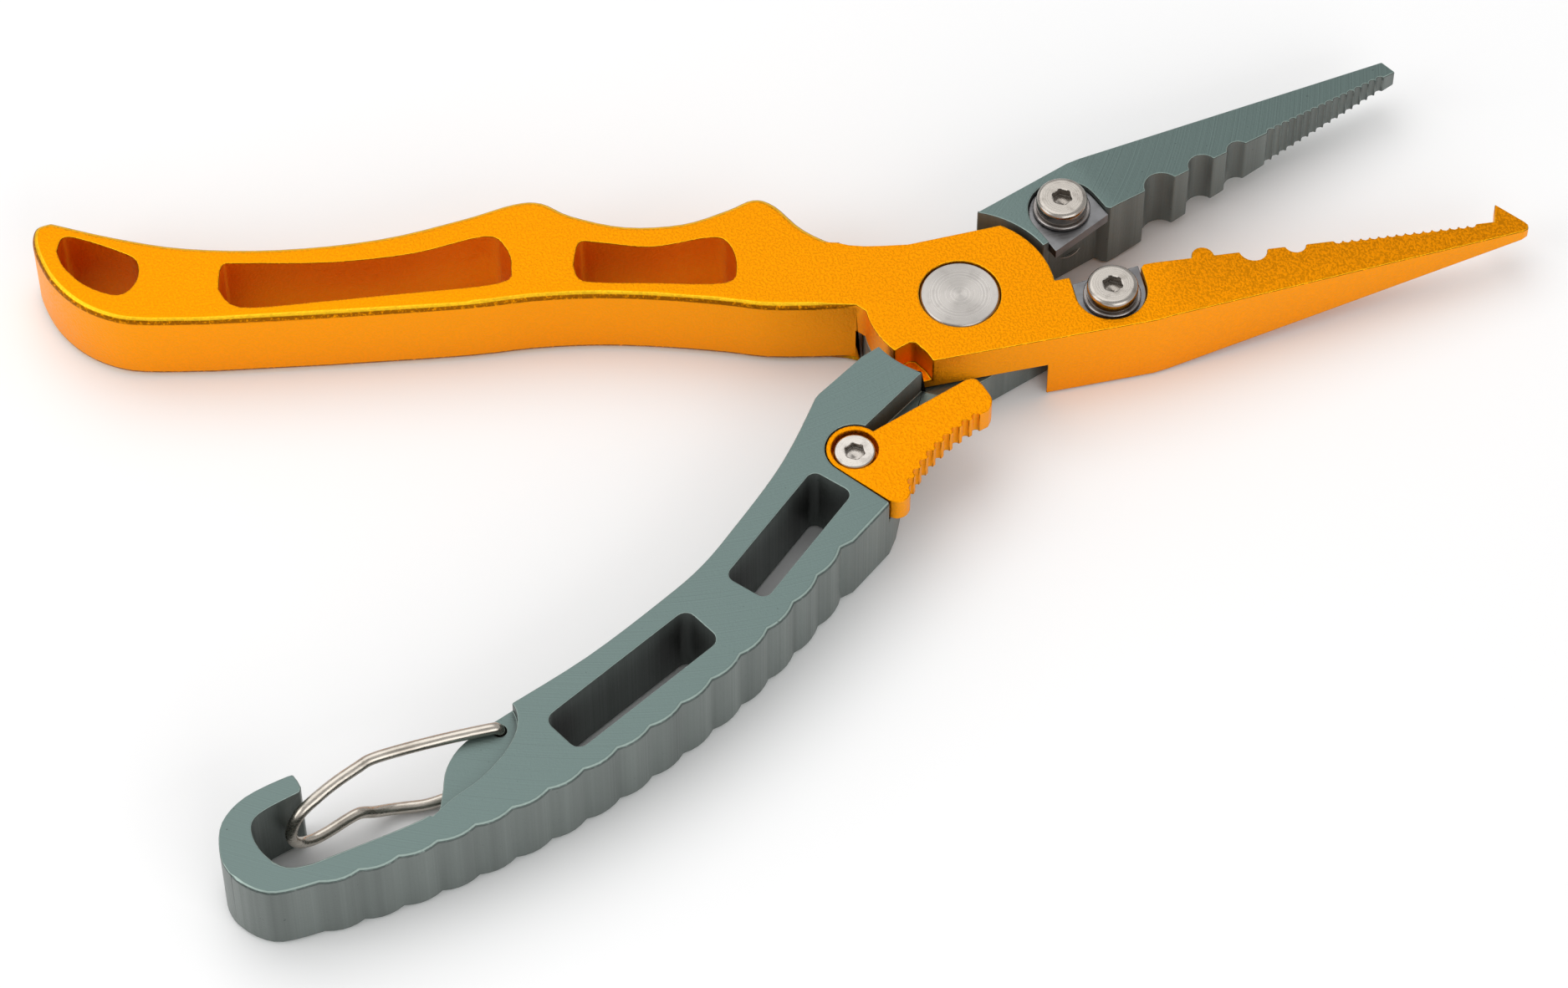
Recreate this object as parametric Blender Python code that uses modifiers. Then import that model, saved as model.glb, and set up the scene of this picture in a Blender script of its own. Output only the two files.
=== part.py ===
"""Fishing pliers: two lap-jointed aluminium arms, cutters, a thumb lock and a sprung wire gate.

Sizes are millimetres until they reach Blender. The pivot axis is the world Z axis, the underside is z = 0,
+X runs along the fixed jaw. The moving arm is drawn closed and hangs from an empty turned to the open pose.
"""

import math

import bmesh
import bpy
from mathutils import Matrix

MM = 0.001

# Overall sizes
THICKNESS = 10.0
JAW_REACH = 65.2
HANDLE_REACH = 98.5
HOOK_HANDLE_REACH = 105.0
HANDLE_DRAWN_AT = 98.5
HOOK_HANDLE_DRAWN_AT = 105.0
OPEN_ANGLE = 21.5

# Fits
SEAT_GAP = 0.1
LAP_GAP = 0.3
RUNNING_GAP = 0.1

# Lap joint and pivot
LAP_RADIUS = 10.65
SHOULDER_RADIUS = LAP_RADIUS + 0.85
LAP_HALF_HEIGHT = 8.2
POST_HEAD_RADIUS = 4.43
POST_HEAD_DEPTH = 1.5
POST_RADIUS = 2.8
POST_FLUSH = 0.08
POST_CHAMFER = 0.2
POST_CAP = 0.6
PIVOT_SCREW_RADIUS = 1.6
SPANNER_HOLE_RADIUS = 0.55
SPANNER_HOLE_SPREAD = 2.9
SPANNER_HOLE_DEPTH = 1.0
SPRING_WIRE = 0.8
SPRING_RADIUS = 3.9
SPRING_TURNS = 2.25
SPRING_LEG = 1.3
SPRING_SQUEEZE = 0.95
SPRING_UPPER_ANGLE = 140.0
SPRING_LOWER_ANGLE = SPRING_UPPER_ANGLE - 360.0 * (SPRING_TURNS % 1.0)
THRUST_WASHER_INNER = 5.1
THRUST_WASHER_OUTER = 7.3
THRUST_WASHER_THICKNESS = 0.8
STOP_PIN_RADIUS = 0.8
STOP_PIN_ORBIT = 8.7
STOP_PIN_ENGAGE = 1.8
CLOSE_MARGIN = 0.5

# Jaws
JAW_HALF_WIDTH = 8.25
JAW_TIP_WIDTH = 2.3
JAW_KINK = 20.4
TAPER_START = 22.0
TAPER_SLOPE = 0.0985
FIXED_GRIP = -0.45
MOVING_GRIP = 0.3
BUMP_AT = 27.6
BUMP_RADIUS = 1.3
WIRE_HOLE_AT = 33.4
SHOT_HOLE_AT = 38.3
TEETH_START = 42.7
TOOTH_COUNT = 16
TOOTH_PITCH = 1.04
TOOTH_DEPTH = 0.4
RING_HOOK_LENGTH = 3.7
MOVING_JAW_SHORTER = 4.2

# Cutters
CUTTER_CENTRE_X = 16.36
CUTTER_CENTRE_Y = 3.1
CUTTER_RADIUS = 3.9
CUTTER_THICKNESS = 1.3
CUTTER_SUNK = 0.6
CUTTER_RELIEF = 1.3
CUTTER_SCREW_Y = 3.6
CUTTER_EDGE_ROOT = 0.55
CUTTER_EDGE_SLOPE = 0.115
M3_RADIUS = 1.5
M3_LENGTH = 6.5
M3_HEAD_RADIUS = 2.85
M3_HEAD_FLAT = 2.45
M3_HEAD_HEIGHT = 1.65
M3_HEX = 2.0
M3_HEX_DEPTH = 1.0
M3_HEAD_EDGE = 0.4
M3_HEAD_DOME = 0.12
WASHER_RADIUS = 3.2
WASHER_THICKNESS = 0.5

# Thumb lock
LEVER_PIVOT = (-21.45, -10.75)
LEVER_THICKNESS = 3.1
LEVER_POCKET_DEPTH = 3.4
LEVER_SUNK = 0.1
LEVER_BOSS_RADIUS = 3.1
LEVER_SWING = 12.0
LEVER_NOTCH_COUNT = 9
LOCK_NOTCH_DEPTH = 3.6
LOCK_SCREW_HEAD_RADIUS = 2.3
LOCK_SCREW_HEAD_HEIGHT = 1.1
LOCK_SCREW_SUNK = 0.4
LOCK_SCREW_RADIUS = 1.4
LOCK_SCREW_LENGTH = 6.0
LOCK_SCREW_CHAMFER = 0.25
LOCK_SCREW_HEX_DEPTH = 0.8
LOCK_SCREW_ROOM = 0.3
LOCK_BUSH_WALL = 0.5
SPRING_WASHER_THICKNESS = 0.3
DETENT_BALL_RADIUS = 0.75
DETENT_REACH = 6.0
DETENT_HOLE_DEPTH = 3.6
DETENT_WIRE = 0.26
DETENT_TURNS = 4.0
DETENT_ANGLE = -32.0
DIMPLE_DEPTH = 0.35

# Wire gate
GATE_WIRE = 1.3
GATE_ROOT = (-72.2, -18.9)
GATE_RECESS_DEPTH = 1.4
GATE_LEG_DEPTH = 2.4
GATE_END_SPREAD = 5.5

# Edges
HANDLE_ROUND = 0.8
HOOK_HANDLE_ROUND = 0.4

LAP_PLANE = THICKNESS / 2
LOWER_LAP_TOP = LAP_PLANE - LAP_GAP / 2
UPPER_LAP_BOTTOM = LAP_PLANE + LAP_GAP / 2
CUT_OVERRUN = 2.0

ORANGE = ("orange_anodised", (0.80, 0.34, 0.01), 0.38, 0.55)
GREEN_GREY = ("green_grey_anodised", (0.17, 0.22, 0.20), 0.42, 0.60)
STEEL = ("brushed_steel", (0.56, 0.53, 0.50), 0.30, 1.0)
DARK_STEEL = ("dark_tool_steel", (0.16, 0.16, 0.17), 0.36, 1.0)
SPRING_STEEL = ("spring_steel", (0.48, 0.45, 0.41), 0.24, 1.0)
BRONZE = ("bearing_bronze", (0.42, 0.25, 0.10), 0.38, 1.0)


# ---------------------------------------------------------------- outlines

def ring_arc(radius, start_deg, end_deg, steps, centre=(0.0, 0.0)):
    """Points on a circle from start_deg to end_deg, both included."""
    points = []
    for step in range(steps + 1):
        angle = math.radians(start_deg + (end_deg - start_deg) * step / steps)
        points.append((centre[0] + radius * math.cos(angle), centre[1] + radius * math.sin(angle)))
    return points


def bow(start, end, rise, steps):
    """Arc from start to end whose middle stands `rise` to the left of the way; the end is left out."""
    dx, dy = end[0] - start[0], end[1] - start[1]
    chord = math.hypot(dx, dy)
    half_angle = 2 * math.atan2(2 * rise, chord)
    radius = chord / (2 * math.sin(half_angle))
    points = []
    for step in range(steps):
        turn = half_angle * (2 * step / steps - 1)
        along = chord / 2 + radius * math.sin(turn)
        aside = radius * (math.cos(turn) - math.cos(half_angle))
        points.append((start[0] + (dx * along - dy * aside) / chord,
                       start[1] + (dy * along + dx * aside) / chord))
    return points


def smooth(points, steps):
    """Catmull-Rom curve through the points, both ends included."""
    ends = [points[0]] + list(points) + [points[-1]]
    result = []
    for index in range(1, len(ends) - 2):
        before, first, second, after = ends[index - 1:index + 3]
        for step in range(steps):
            t = step / steps
            result.append(tuple(0.5 * (2 * b + (c - a) * t + (2 * a - 5 * b + 4 * c - d) * t * t
                                       + (3 * b - a - 3 * c + d) * t ** 3)
                                for a, b, c, d in zip(before, first, second, after)))
    result.append(tuple(points[-1]))
    return result


def rounded_box(centre, length, width, turn_deg, radius, steps=5):
    """Rectangle with round corners, turned about its centre."""
    turn = math.radians(turn_deg)
    points = []
    for corner, (side_x, side_y) in enumerate(((1, 1), (-1, 1), (-1, -1), (1, -1))):
        middle = (side_x * (length / 2 - radius), side_y * (width / 2 - radius))
        points += ring_arc(radius, 90 * corner, 90 * corner + 90, steps, middle)
    return [(centre[0] + x * math.cos(turn) - y * math.sin(turn),
             centre[1] + x * math.sin(turn) + y * math.cos(turn)) for x, y in points]


def stretched(points, reach, drawn_at):
    """Moves a handle outline's stations so that the handle ends at `reach` from the pivot."""
    factor = (reach - SHOULDER_RADIUS) / (drawn_at - SHOULDER_RADIUS)
    return [(-SHOULDER_RADIUS + (x + SHOULDER_RADIUS) * factor, y) for x, y in points]


def fixed_handle(points):
    """Points of the fixed handle at its set reach."""
    return stretched(points, HANDLE_REACH, HANDLE_DRAWN_AT)


def hook_handle(points):
    """Points of the moving handle at its set reach."""
    return stretched(points, HOOK_HANDLE_REACH, HOOK_HANDLE_DRAWN_AT)


def polar_angle(radius, y):
    """Angle in degrees, right of the pivot, where a circle about it reaches height y."""
    return math.degrees(math.asin(y / radius))


def grip_notch(at, width, depth, grip, side):
    """Round notch, or bump where depth is negative, met on the way from the tip to the pivot."""
    return bow((at + width / 2, grip), (at - width / 2, grip), -side * depth, 10) + [(at - width / 2, grip)]


def teeth(grip, side):
    """Scalloped teeth from the tip side to the pivot side."""
    points = []
    for index in range(TOOTH_COUNT, 0, -1):
        outer = (TEETH_START + index * TOOTH_PITCH, grip)
        inner = (TEETH_START + (index - 1) * TOOTH_PITCH, grip)
        points += bow(outer, inner, -side * TOOTH_DEPTH, 4)
    return points + [(TEETH_START, grip)]


# ---------------------------------------------------------------- scene helpers

def new_collection(name):
    """Collection linked to the scene."""
    collection = bpy.data.collections.new(name)
    bpy.context.scene.collection.children.link(collection)
    return collection


def material(spec):
    """Principled material with the finish's colour, roughness and metallic value."""
    name, colour, roughness, metallic = spec
    found = bpy.data.materials.get(name)
    if found:
        return found
    made = bpy.data.materials.new(name)
    made.use_nodes = True
    shader = made.node_tree.nodes["Principled BSDF"]
    shader.inputs["Base Color"].default_value = (*colour, 1.0)
    shader.inputs["Roughness"].default_value = roughness
    shader.inputs["Metallic"].default_value = metallic
    made.diffuse_color = (*colour, 1.0)
    return made


def add_object(name, data, finish=None, parent=None, location=(0.0, 0.0, 0.0)):
    """Links a new object to the parts, or to the cutters where it has no finish."""
    thing = bpy.data.objects.new(name, data)
    thing.location = [value * MM for value in location]
    thing.parent = parent
    if finish:
        PARTS.objects.link(thing)
        thing.data.materials.clear()
        thing.data.materials.append(material(finish))
    else:
        CUTTERS.objects.link(thing)
        thing.hide_render = True
        thing.display_type = "WIRE"
    return thing


def curve_to_mesh(curve, name):
    """Mesh of an evaluated curve, with its caps welded and its flat faces joined."""
    holder = bpy.data.objects.new(name, curve)
    bpy.context.scene.collection.objects.link(holder)
    bpy.context.view_layer.update()
    evaluated = holder.evaluated_get(bpy.context.evaluated_depsgraph_get())
    mesh = bpy.data.meshes.new_from_object(evaluated)
    bpy.data.objects.remove(holder)
    shape = bmesh.new()
    shape.from_mesh(mesh)
    bmesh.ops.remove_doubles(shape, verts=shape.verts, dist=0.002 * MM)
    bmesh.ops.dissolve_limit(shape, angle_limit=0.002, verts=shape.verts, edges=shape.edges)
    bmesh.ops.recalc_face_normals(shape, faces=shape.faces)
    shape.to_mesh(mesh)
    shape.free()
    return mesh


def outline_mesh(name, points, low, high):
    """Flat outline filled and extruded from height low to height high."""
    curve = bpy.data.curves.new(name, "CURVE")
    curve.dimensions = "2D"
    curve.fill_mode = "BOTH"
    curve.extrude = (high - low) / 2 * MM
    spline = curve.splines.new("POLY")
    spline.points.add(len(points) - 1)
    for point, (x, y) in zip(spline.points, points):
        point.co = (x * MM, y * MM, 0.0, 1.0)
    spline.use_cyclic_u = True
    mesh = curve_to_mesh(curve, name)
    mesh.transform(Matrix.Translation((0.0, 0.0, (low + high) / 2 * MM)))
    return mesh


def outline_cutter(name, points, low, high, parent=None, location=(0.0, 0.0, 0.0)):
    """Cutter with a flat outline."""
    return add_object(name, outline_mesh(name, points, low, high), None, parent, location)


def cylinder_mesh(name, radius, low, high, sides=48):
    """Round bar about Z from height low to height high."""
    shape = bmesh.new()
    bmesh.ops.create_cone(shape, cap_ends=True, segments=sides, radius1=radius * MM, radius2=radius * MM,
                          depth=(high - low) * MM)
    bmesh.ops.translate(shape, verts=shape.verts, vec=(0.0, 0.0, (low + high) / 2 * MM))
    mesh = bpy.data.meshes.new(name)
    shape.to_mesh(mesh)
    shape.free()
    return mesh


def cylinder_cutter(name, radius, low, high, parent=None, location=(0.0, 0.0, 0.0), sides=48):
    """Round cutter about Z."""
    return add_object(name, cylinder_mesh(name, radius, low, high, sides), None, parent, location)


def ball_mesh(name, radius):
    """Ball about the origin."""
    shape = bmesh.new()
    bmesh.ops.create_uvsphere(shape, u_segments=14, v_segments=8, radius=radius * MM)
    mesh = bpy.data.meshes.new(name)
    shape.to_mesh(mesh)
    shape.free()
    return mesh


def ring_outline_cutter(name, inner, outer, low, high, parent=None):
    """Annular cutter, as a turned square profile."""
    return turned(name, [(inner, high), (outer, high), (outer, low), (inner, low)], None, parent)


def turned(name, profile, finish, parent=None, location=(0.0, 0.0, 0.0), sides=36):
    """Solid turned about Z from (radius, height) points that run down the outer side; a bored one closes up."""
    closed = profile[0][0] > 0.0
    mesh = bpy.data.meshes.new(name)
    count = len(profile)
    edges = [(index, index + 1) for index in range(count - 1)]
    if closed:
        edges.append((count - 1, 0))
    mesh.from_pydata([(radius * MM, 0.0, height * MM) for radius, height in profile], edges, [])
    thing = add_object(name, mesh, finish, parent, location)
    screw = thing.modifiers.new("turn", "SCREW")
    screw.steps = sides
    screw.render_steps = sides
    screw.use_merge_vertices = True
    screw.merge_threshold = 0.00001
    return thing


def cut(target, *cutters):
    """Takes each cutter out of the target."""
    for cutter in cutters:
        modifier = target.modifiers.new(cutter.name, "BOOLEAN")
        modifier.operation = "DIFFERENCE"
        modifier.solver = "EXACT"
        modifier.object = cutter


def wire_mesh(name, points, diameter, resolution):
    """Round wire along the points, with closed ends."""
    curve = bpy.data.curves.new(name, "CURVE")
    curve.dimensions = "3D"
    curve.bevel_depth = diameter / 2 * MM
    curve.bevel_resolution = resolution
    curve.use_fill_caps = True
    spline = curve.splines.new("POLY")
    spline.points.add(len(points) - 1)
    for point, position in zip(spline.points, points):
        point.co = (*[value * MM for value in position], 1.0)
    return curve_to_mesh(curve, name)


def smooth_shading(thing, angle_deg=35.0):
    """Shades smooth, with edges sharper than the angle kept."""
    thing.data.shade_smooth()
    thing.data.set_sharp_from_angle(angle=math.radians(angle_deg))


def round_rim(thing, radius, chosen):
    """Bevels the rim edges, top and bottom, whose middle satisfies chosen(x, y)."""
    mesh = thing.data
    weights = mesh.attributes.new("bevel_weight_edge", "FLOAT", "EDGE")
    for edge in mesh.edges:
        first, second = (mesh.vertices[index].co / MM for index in edge.vertices)
        middle = (first + second) / 2
        if abs(first.z - second.z) < SEAT_GAP and chosen(middle.x, middle.y):
            weights.data[edge.index].value = 1.0
    bevel = thing.modifiers.new("rim", "BEVEL")
    bevel.limit_method = "WEIGHT"
    bevel.width = radius * MM
    bevel.segments = 3
    bevel.use_clamp_overlap = False


# ---------------------------------------------------------------- arm outlines

def fixed_jaw_grip():
    """Grip edge of the fixed jaw from the split-ring hook back to the cutter pocket."""
    grip = FIXED_GRIP
    points = [(JAW_REACH - 2.9, 1.95), (JAW_REACH - RING_HOOK_LENGTH, grip)]
    points += teeth(grip, -1)
    points += grip_notch(SHOT_HOLE_AT, 2.4, 0.95, grip, -1)
    points += grip_notch(WIRE_HOLE_AT, 3.2, 1.4, grip, -1)
    points += ring_arc(BUMP_RADIUS, 0, 180, 10, (BUMP_AT, grip))
    return points


def moving_jaw_grip():
    """Grip edge of the moving jaw from the cutter pocket out to the tip."""
    grip = MOVING_GRIP
    points = teeth(grip, 1)
    points += grip_notch(SHOT_HOLE_AT, 2.6, 0.85, grip, 1)
    points += grip_notch(WIRE_HOLE_AT, 3.4, 1.35, grip, 1)
    points += grip_notch(BUMP_AT, 4.1, 1.55, grip, 1)
    return points[::-1]


def relief_points(grip, side):
    """Step of the jaw edge beside the cutter, from the jaw to the lap disc."""
    seat = CUTTER_RADIUS + SEAT_GAP
    far = CUTTER_CENTRE_X + seat
    near = CUTTER_CENTRE_X - seat
    wall = grip + side * CUTTER_RELIEF
    return [(far + 0.4, grip), (far, grip + side * 0.4), (far - 0.5, wall), (near, wall), (near, grip)]


def fixed_handle_edge():
    """Handle outline from the pivot round the end and back to the lap."""
    top = smooth([(-4.0, 7.95), (-10.4, 9.3), (-14.6, 12.6), (-17.1, 16.7), (-19.3, 18.1), (-22.5, 17.3),
                  (-27.7, 16.5), (-34.0, 17.5), (-39.5, 20.3), (-42.4, 22.8), (-45.5, 23.35), (-51.4, 22.5),
                  (-61.0, 21.8), (-72.0, 22.8), (-82.0, 25.2), (-89.5, 28.4), (-96.1, 31.95)], 4)
    end = smooth([(-96.1, 31.95), (-97.8, 31.6), (-98.5, 30.0), (-98.4, 27.5), (-97.4, 23.8), (-95.3, 20.3),
                  (-92.4, 17.7), (-88.9, 16.1), (-81.4, 14.5)], 4)
    bottom = smooth([(-81.4, 14.5), (-68.7, 12.5), (-53.5, 10.4), (-46.1, 9.8), (-38.8, 8.6), (-31.7, 6.7),
                     (-25.4, 4.6), (-21.2, 3.0), (-15.9, 1.8)], 3)
    return fixed_handle(top[:-1] + end[:-1] + bottom)


def fixed_arm_outline():
    """Whole outline of the fixed arm, starting under the jaw."""
    lap_side = polar_angle(LAP_RADIUS, JAW_HALF_WIDTH)
    points = [(JAW_KINK, -JAW_HALF_WIDTH), (JAW_REACH - 0.8, -JAW_TIP_WIDTH)]
    points += smooth([(JAW_REACH - 0.15, -2.0), (JAW_REACH, -1.4), (JAW_REACH - 0.5, -0.7)], 2)
    points += fixed_jaw_grip() + relief_points(FIXED_GRIP, -1)
    top_height = LAP_HALF_HEIGHT + 0.1
    points += ring_arc(LAP_RADIUS, polar_angle(LAP_RADIUS, FIXED_GRIP), polar_angle(LAP_RADIUS, top_height), 14)
    points += fixed_handle_edge()
    points += [(-SHOULDER_RADIUS, 1.0)]
    return points + ring_arc(LAP_RADIUS, 180, 180 + lap_side, 10)


def lock_notch_points():
    """Notch in the edge of the upper lap plate that the thumb lever drops into."""
    return [(-9.4, -6.2), (-8.75, -5.95), (-6.95, -5.25), (-6.3, -5.45), (-5.4, -7.0),
            (-5.0, -JAW_HALF_WIDTH), (-4.9, -9.5), (-9.4, -9.5)]


def moving_handle_edge():
    """Handle outline from the neck round the hook and back under the thumb lever."""
    neck = [(-SHOULDER_RADIUS - 0.3, -0.9), (-13.8, -0.96), (-20.6, -2.5)]
    top = smooth([(-21.2, -2.75), (-26.3, -6.2), (-30.9, -8.8), (-37.4, -11.7), (-43.5, -14.1),
                  (-49.6, -15.45), (-60.0, -17.0), (-70.0, -17.5)], 4)
    root = smooth([(-70.0, -17.5), (-75.9, -18.0), (-79.2, -19.6), (-81.4, -22.2), (-83.2, -23.9),
                   (-86.4, -24.05), (-97.2, -22.4)], 4)
    inside = smooth([(-97.2, -22.4), (-99.6, -21.3), (-100.8, -18.6), (-100.4, -15.6), (-98.6, -14.3),
                     (-93.8, -14.4)], 4)
    nose = smooth([(-93.4, -13.9), (-93.3, -12.6), (-93.9, -12.0), (-98.9, -11.7), (-102.4, -13.0),
                   (-104.4, -15.8), (-105.0, -18.4), (-104.3, -21.2), (-102.3, -23.5), (-97.9, -24.9)], 4)
    points = neck + top[:-1] + root[:-1] + inside + nose[:-1]
    points += scallops((-97.9, -24.9), (-30.0, -20.6), 16)
    points += [(-28.4, -20.7), (-22.4, -18.8), (-20.5, -17.4), (-18.5, -15.4)]
    return hook_handle(points)


def scallops(start, end, count):
    """Finger scallops: cusps on one long bow, an outward bow between each pair."""
    cusps = bow(start, end, -5.75, count) + [end]
    points = []
    for first, second in zip(cusps, cusps[1:]):
        points += bow(first, second, -0.45, 5)
    return points + [end]


def moving_arm_outline():
    """Whole outline of the moving arm, drawn with the jaws closed."""
    tip = JAW_REACH - MOVING_JAW_SHORTER
    near_lap = polar_angle(LAP_RADIUS, MOVING_GRIP)
    lap_side = polar_angle(LAP_RADIUS, LAP_HALF_HEIGHT)
    points = ring_arc(LAP_RADIUS, -lap_side, near_lap, 14)
    points += relief_points(MOVING_GRIP, 1)[::-1]
    points += moving_jaw_grip()
    points += [(tip, MOVING_GRIP), (tip - 0.4, JAW_TIP_WIDTH), (JAW_KINK, JAW_HALF_WIDTH)]
    points += [(SHOULDER_RADIUS - 3.5, LAP_HALF_HEIGHT)]
    points += ring_arc(LAP_RADIUS, 180 - lap_side, 184, 10)
    points += moving_handle_edge()
    points += smooth([(-16.4, -13.6), (-13.6, -11.2), (-10.6, -9.2), (-7.0, -LAP_HALF_HEIGHT)], 4)
    return points


def lever_outline():
    """Thumb lever about its own pivot, boss first and then the serrated thumb edge."""
    px, py = LEVER_PIVOT
    top = -9.9 - py
    boss_start = math.degrees(math.asin(top / LEVER_BOSS_RADIUS))
    points = ring_arc(LEVER_BOSS_RADIUS, boss_start, 196, 18)
    foot = [(-22.2, -18.4), (-21.6, -19.1), (-20.6, -19.3), (-19.8, -18.9)]
    points += [(x - px, y - py) for x, y in smooth(foot, 3)]
    points += thumb_serrations((-19.5 - px, -18.2 - py), (-7.6 - px, -14.6 - py))
    head = [(-6.5, -14.65), (-5.6, -14.0), (-5.2, -13.1), (-5.1, -11.0), (-5.4, -10.2), (-6.2, -9.9)]
    points += [(x - px, y - py) for x, y in smooth(head, 3)]
    return points


def thumb_serrations(start, end):
    """Round notches along a hollow edge, with a short land before each."""
    ends = bow(start, end, 1.0, LEVER_NOTCH_COUNT) + [end]
    points = []
    for first, second in zip(ends, ends[1:]):
        land = tuple(a + 0.3 * (b - a) for a, b in zip(first, second))
        points.append(first)
        points += bow(land, second, 0.5, 6)
    return points + [end]


# ---------------------------------------------------------------- shared cutters

def taper_cutters(owner, parent=None):
    """Wedges that thin a jaw towards its tip from above and from below."""
    far = JAW_REACH + CUT_OVERRUN
    drop = TAPER_SLOPE * (far - TAPER_START)
    top = THICKNESS + CUT_OVERRUN
    upper = [(TAPER_START, THICKNESS), (far, THICKNESS - drop), (far, top), (TAPER_START, top)]
    lower = [(x, THICKNESS - z) for x, z in upper]
    made = []
    for label, profile in (("above", upper), ("below", lower)):
        mesh = outline_mesh(f"{owner}_taper_{label}", profile, -LAP_RADIUS, LAP_RADIUS)
        mesh.transform(Matrix.Rotation(math.radians(90), 4, "X"))
        made.append(add_object(f"{owner}_taper_{label}", mesh, None, parent))
    return made


def cutter_pocket(owner, side, parent=None):
    """U-shaped seat with its threaded hole."""
    floor = THICKNESS - CUTTER_SUNK - CUTTER_THICKNESS - SEAT_GAP
    radius = CUTTER_RADIUS + SEAT_GAP
    centre_y = side * CUTTER_CENTRE_Y
    start = 0 if side > 0 else 180
    points = ring_arc(radius, start, start + 180, 24, (CUTTER_CENTRE_X, centre_y))
    points += [(points[-1][0], -side * CUT_OVERRUN), (points[0][0], -side * CUT_OVERRUN)]
    seat = outline_cutter(f"{owner}_cutter_seat", points, floor, THICKNESS + CUT_OVERRUN, parent)
    head_base = cutter_screw_base()
    thread = cylinder_cutter(f"{owner}_cutter_thread", M3_RADIUS + RUNNING_GAP, head_base - M3_LENGTH - SEAT_GAP,
                             THICKNESS, parent, (CUTTER_CENTRE_X, side * CUTTER_SCREW_Y, 0.0), 32)
    return seat, thread


def cutter_screw_base():
    """Height of the underside of a cutter screw's head."""
    return THICKNESS - CUTTER_SUNK + SEAT_GAP + WASHER_THICKNESS + SEAT_GAP


def side_ring_slot(name, orbit, half_width, start_deg, end_deg, low, high, parent):
    """Arc-shaped slot about the pivot, with flat ends beyond the given angles."""
    points = ring_arc(orbit + half_width, start_deg, end_deg, 12)
    points += ring_arc(orbit - half_width, end_deg, start_deg, 12)
    return outline_cutter(name, points, low, high, parent)


# ---------------------------------------------------------------- arms

def orange_arm():
    """Fixed arm: handle, upper lap plate and lower jaw."""
    arm = add_object("orange_arm", outline_mesh("orange_arm", fixed_arm_outline(), 0.0, THICKNESS), ORANGE)
    round_rim(arm, HANDLE_ROUND, lambda x, y: x < -SHOULDER_RADIUS - 0.5)
    cut(arm, cylinder_cutter("orange_lap_relief", SHOULDER_RADIUS, -CUT_OVERRUN, UPPER_LAP_BOTTOM, sides=96))
    cut(arm, *taper_cutters("orange"))
    cut(arm, *cutter_pocket("orange", -1))
    cut(arm, *orange_slots())
    cut(arm, *orange_pivot_cuts())
    cut(arm, outline_cutter("orange_lock_notch", lock_notch_points(), THICKNESS - LOCK_NOTCH_DEPTH,
                            THICKNESS + CUT_OVERRUN))
    smooth_shading(arm)
    return arm


def orange_slots():
    """End hole and the two finger slots of the fixed handle."""
    high = THICKNESS + CUT_OVERRUN
    end_hole = smooth([(-96.1, 27.6), (-95.2, 29.3), (-93.4, 28.8), (-89.4, 26.1), (-87.7, 24.3), (-88.2, 21.6),
                       (-90.4, 20.2), (-93.6, 22.2), (-95.6, 25.2), (-96.1, 27.6)], 4)[:-1]
    long_slot = smooth([(-79.5, 18.5), (-78.6, 21.6), (-76.5, 21.5), (-67.0, 19.5), (-57.7, 18.7), (-49.6, 19.3),
                        (-47.6, 17.4), (-47.5, 14.4), (-49.3, 12.6), (-60.5, 13.6), (-69.5, 14.5), (-77.6, 15.6),
                        (-79.5, 18.5)], 4)[:-1]
    short_slot = smooth([(-40.7, 13.2), (-39.5, 16.1), (-37.4, 15.7), (-31.7, 13.8), (-25.2, 13.7), (-23.3, 12.3),
                         (-23.2, 9.0), (-24.9, 7.2), (-32.6, 8.9), (-38.4, 10.3), (-40.4, 11.2),
                         (-40.7, 13.2)], 4)[:-1]
    made = []
    for name, points in (("end_hole", end_hole), ("long_slot", long_slot), ("short_slot", short_slot)):
        made.append(outline_cutter(f"orange_{name}", fixed_handle(points), -CUT_OVERRUN, high))
    return made


def orange_pivot_cuts():
    """Bore, counterbore, spring room, washer recess and stop pin hole of the upper lap plate."""
    high = THICKNESS + CUT_OVERRUN
    washer_room = THRUST_WASHER_THICKNESS / 2 + SEAT_GAP
    spring_room = spring_half_height() + SEAT_GAP
    head_floor = THICKNESS - POST_FLUSH - POST_HEAD_DEPTH - SEAT_GAP
    leg_top = LAP_PLANE + spring_half_height() + SPRING_LEG
    leg_angle = math.radians(SPRING_UPPER_ANGLE)
    leg_at = (SPRING_RADIUS * math.cos(leg_angle), SPRING_RADIUS * math.sin(leg_angle), 0.0)
    pin_top = LAP_PLANE + STOP_PIN_ENGAGE + SEAT_GAP
    return (
        cylinder_cutter("orange_pivot_bore", POST_RADIUS + RUNNING_GAP, 0.0, high),
        cylinder_cutter("orange_post_seat", POST_HEAD_RADIUS + RUNNING_GAP, head_floor, high, sides=72),
        ring_outline_cutter("orange_washer_recess", THRUST_WASHER_INNER - SEAT_GAP,
                            THRUST_WASHER_OUTER + SEAT_GAP, 0.0, LAP_PLANE + washer_room),
        cylinder_cutter("orange_spring_room", SPRING_RADIUS + SPRING_WIRE / 2 + SEAT_GAP, 0.0,
                        LAP_PLANE + spring_room),
        cylinder_cutter("orange_spring_leg_hole", SPRING_WIRE / 2 + SEAT_GAP, LAP_PLANE, leg_top + SEAT_GAP,
                        None, leg_at, 16),
        cylinder_cutter("orange_stop_pin_hole", STOP_PIN_RADIUS + SEAT_GAP, 0.0, pin_top,
                        None, (STOP_PIN_ORBIT, 0.0, 0.0), 24),
    )


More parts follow.
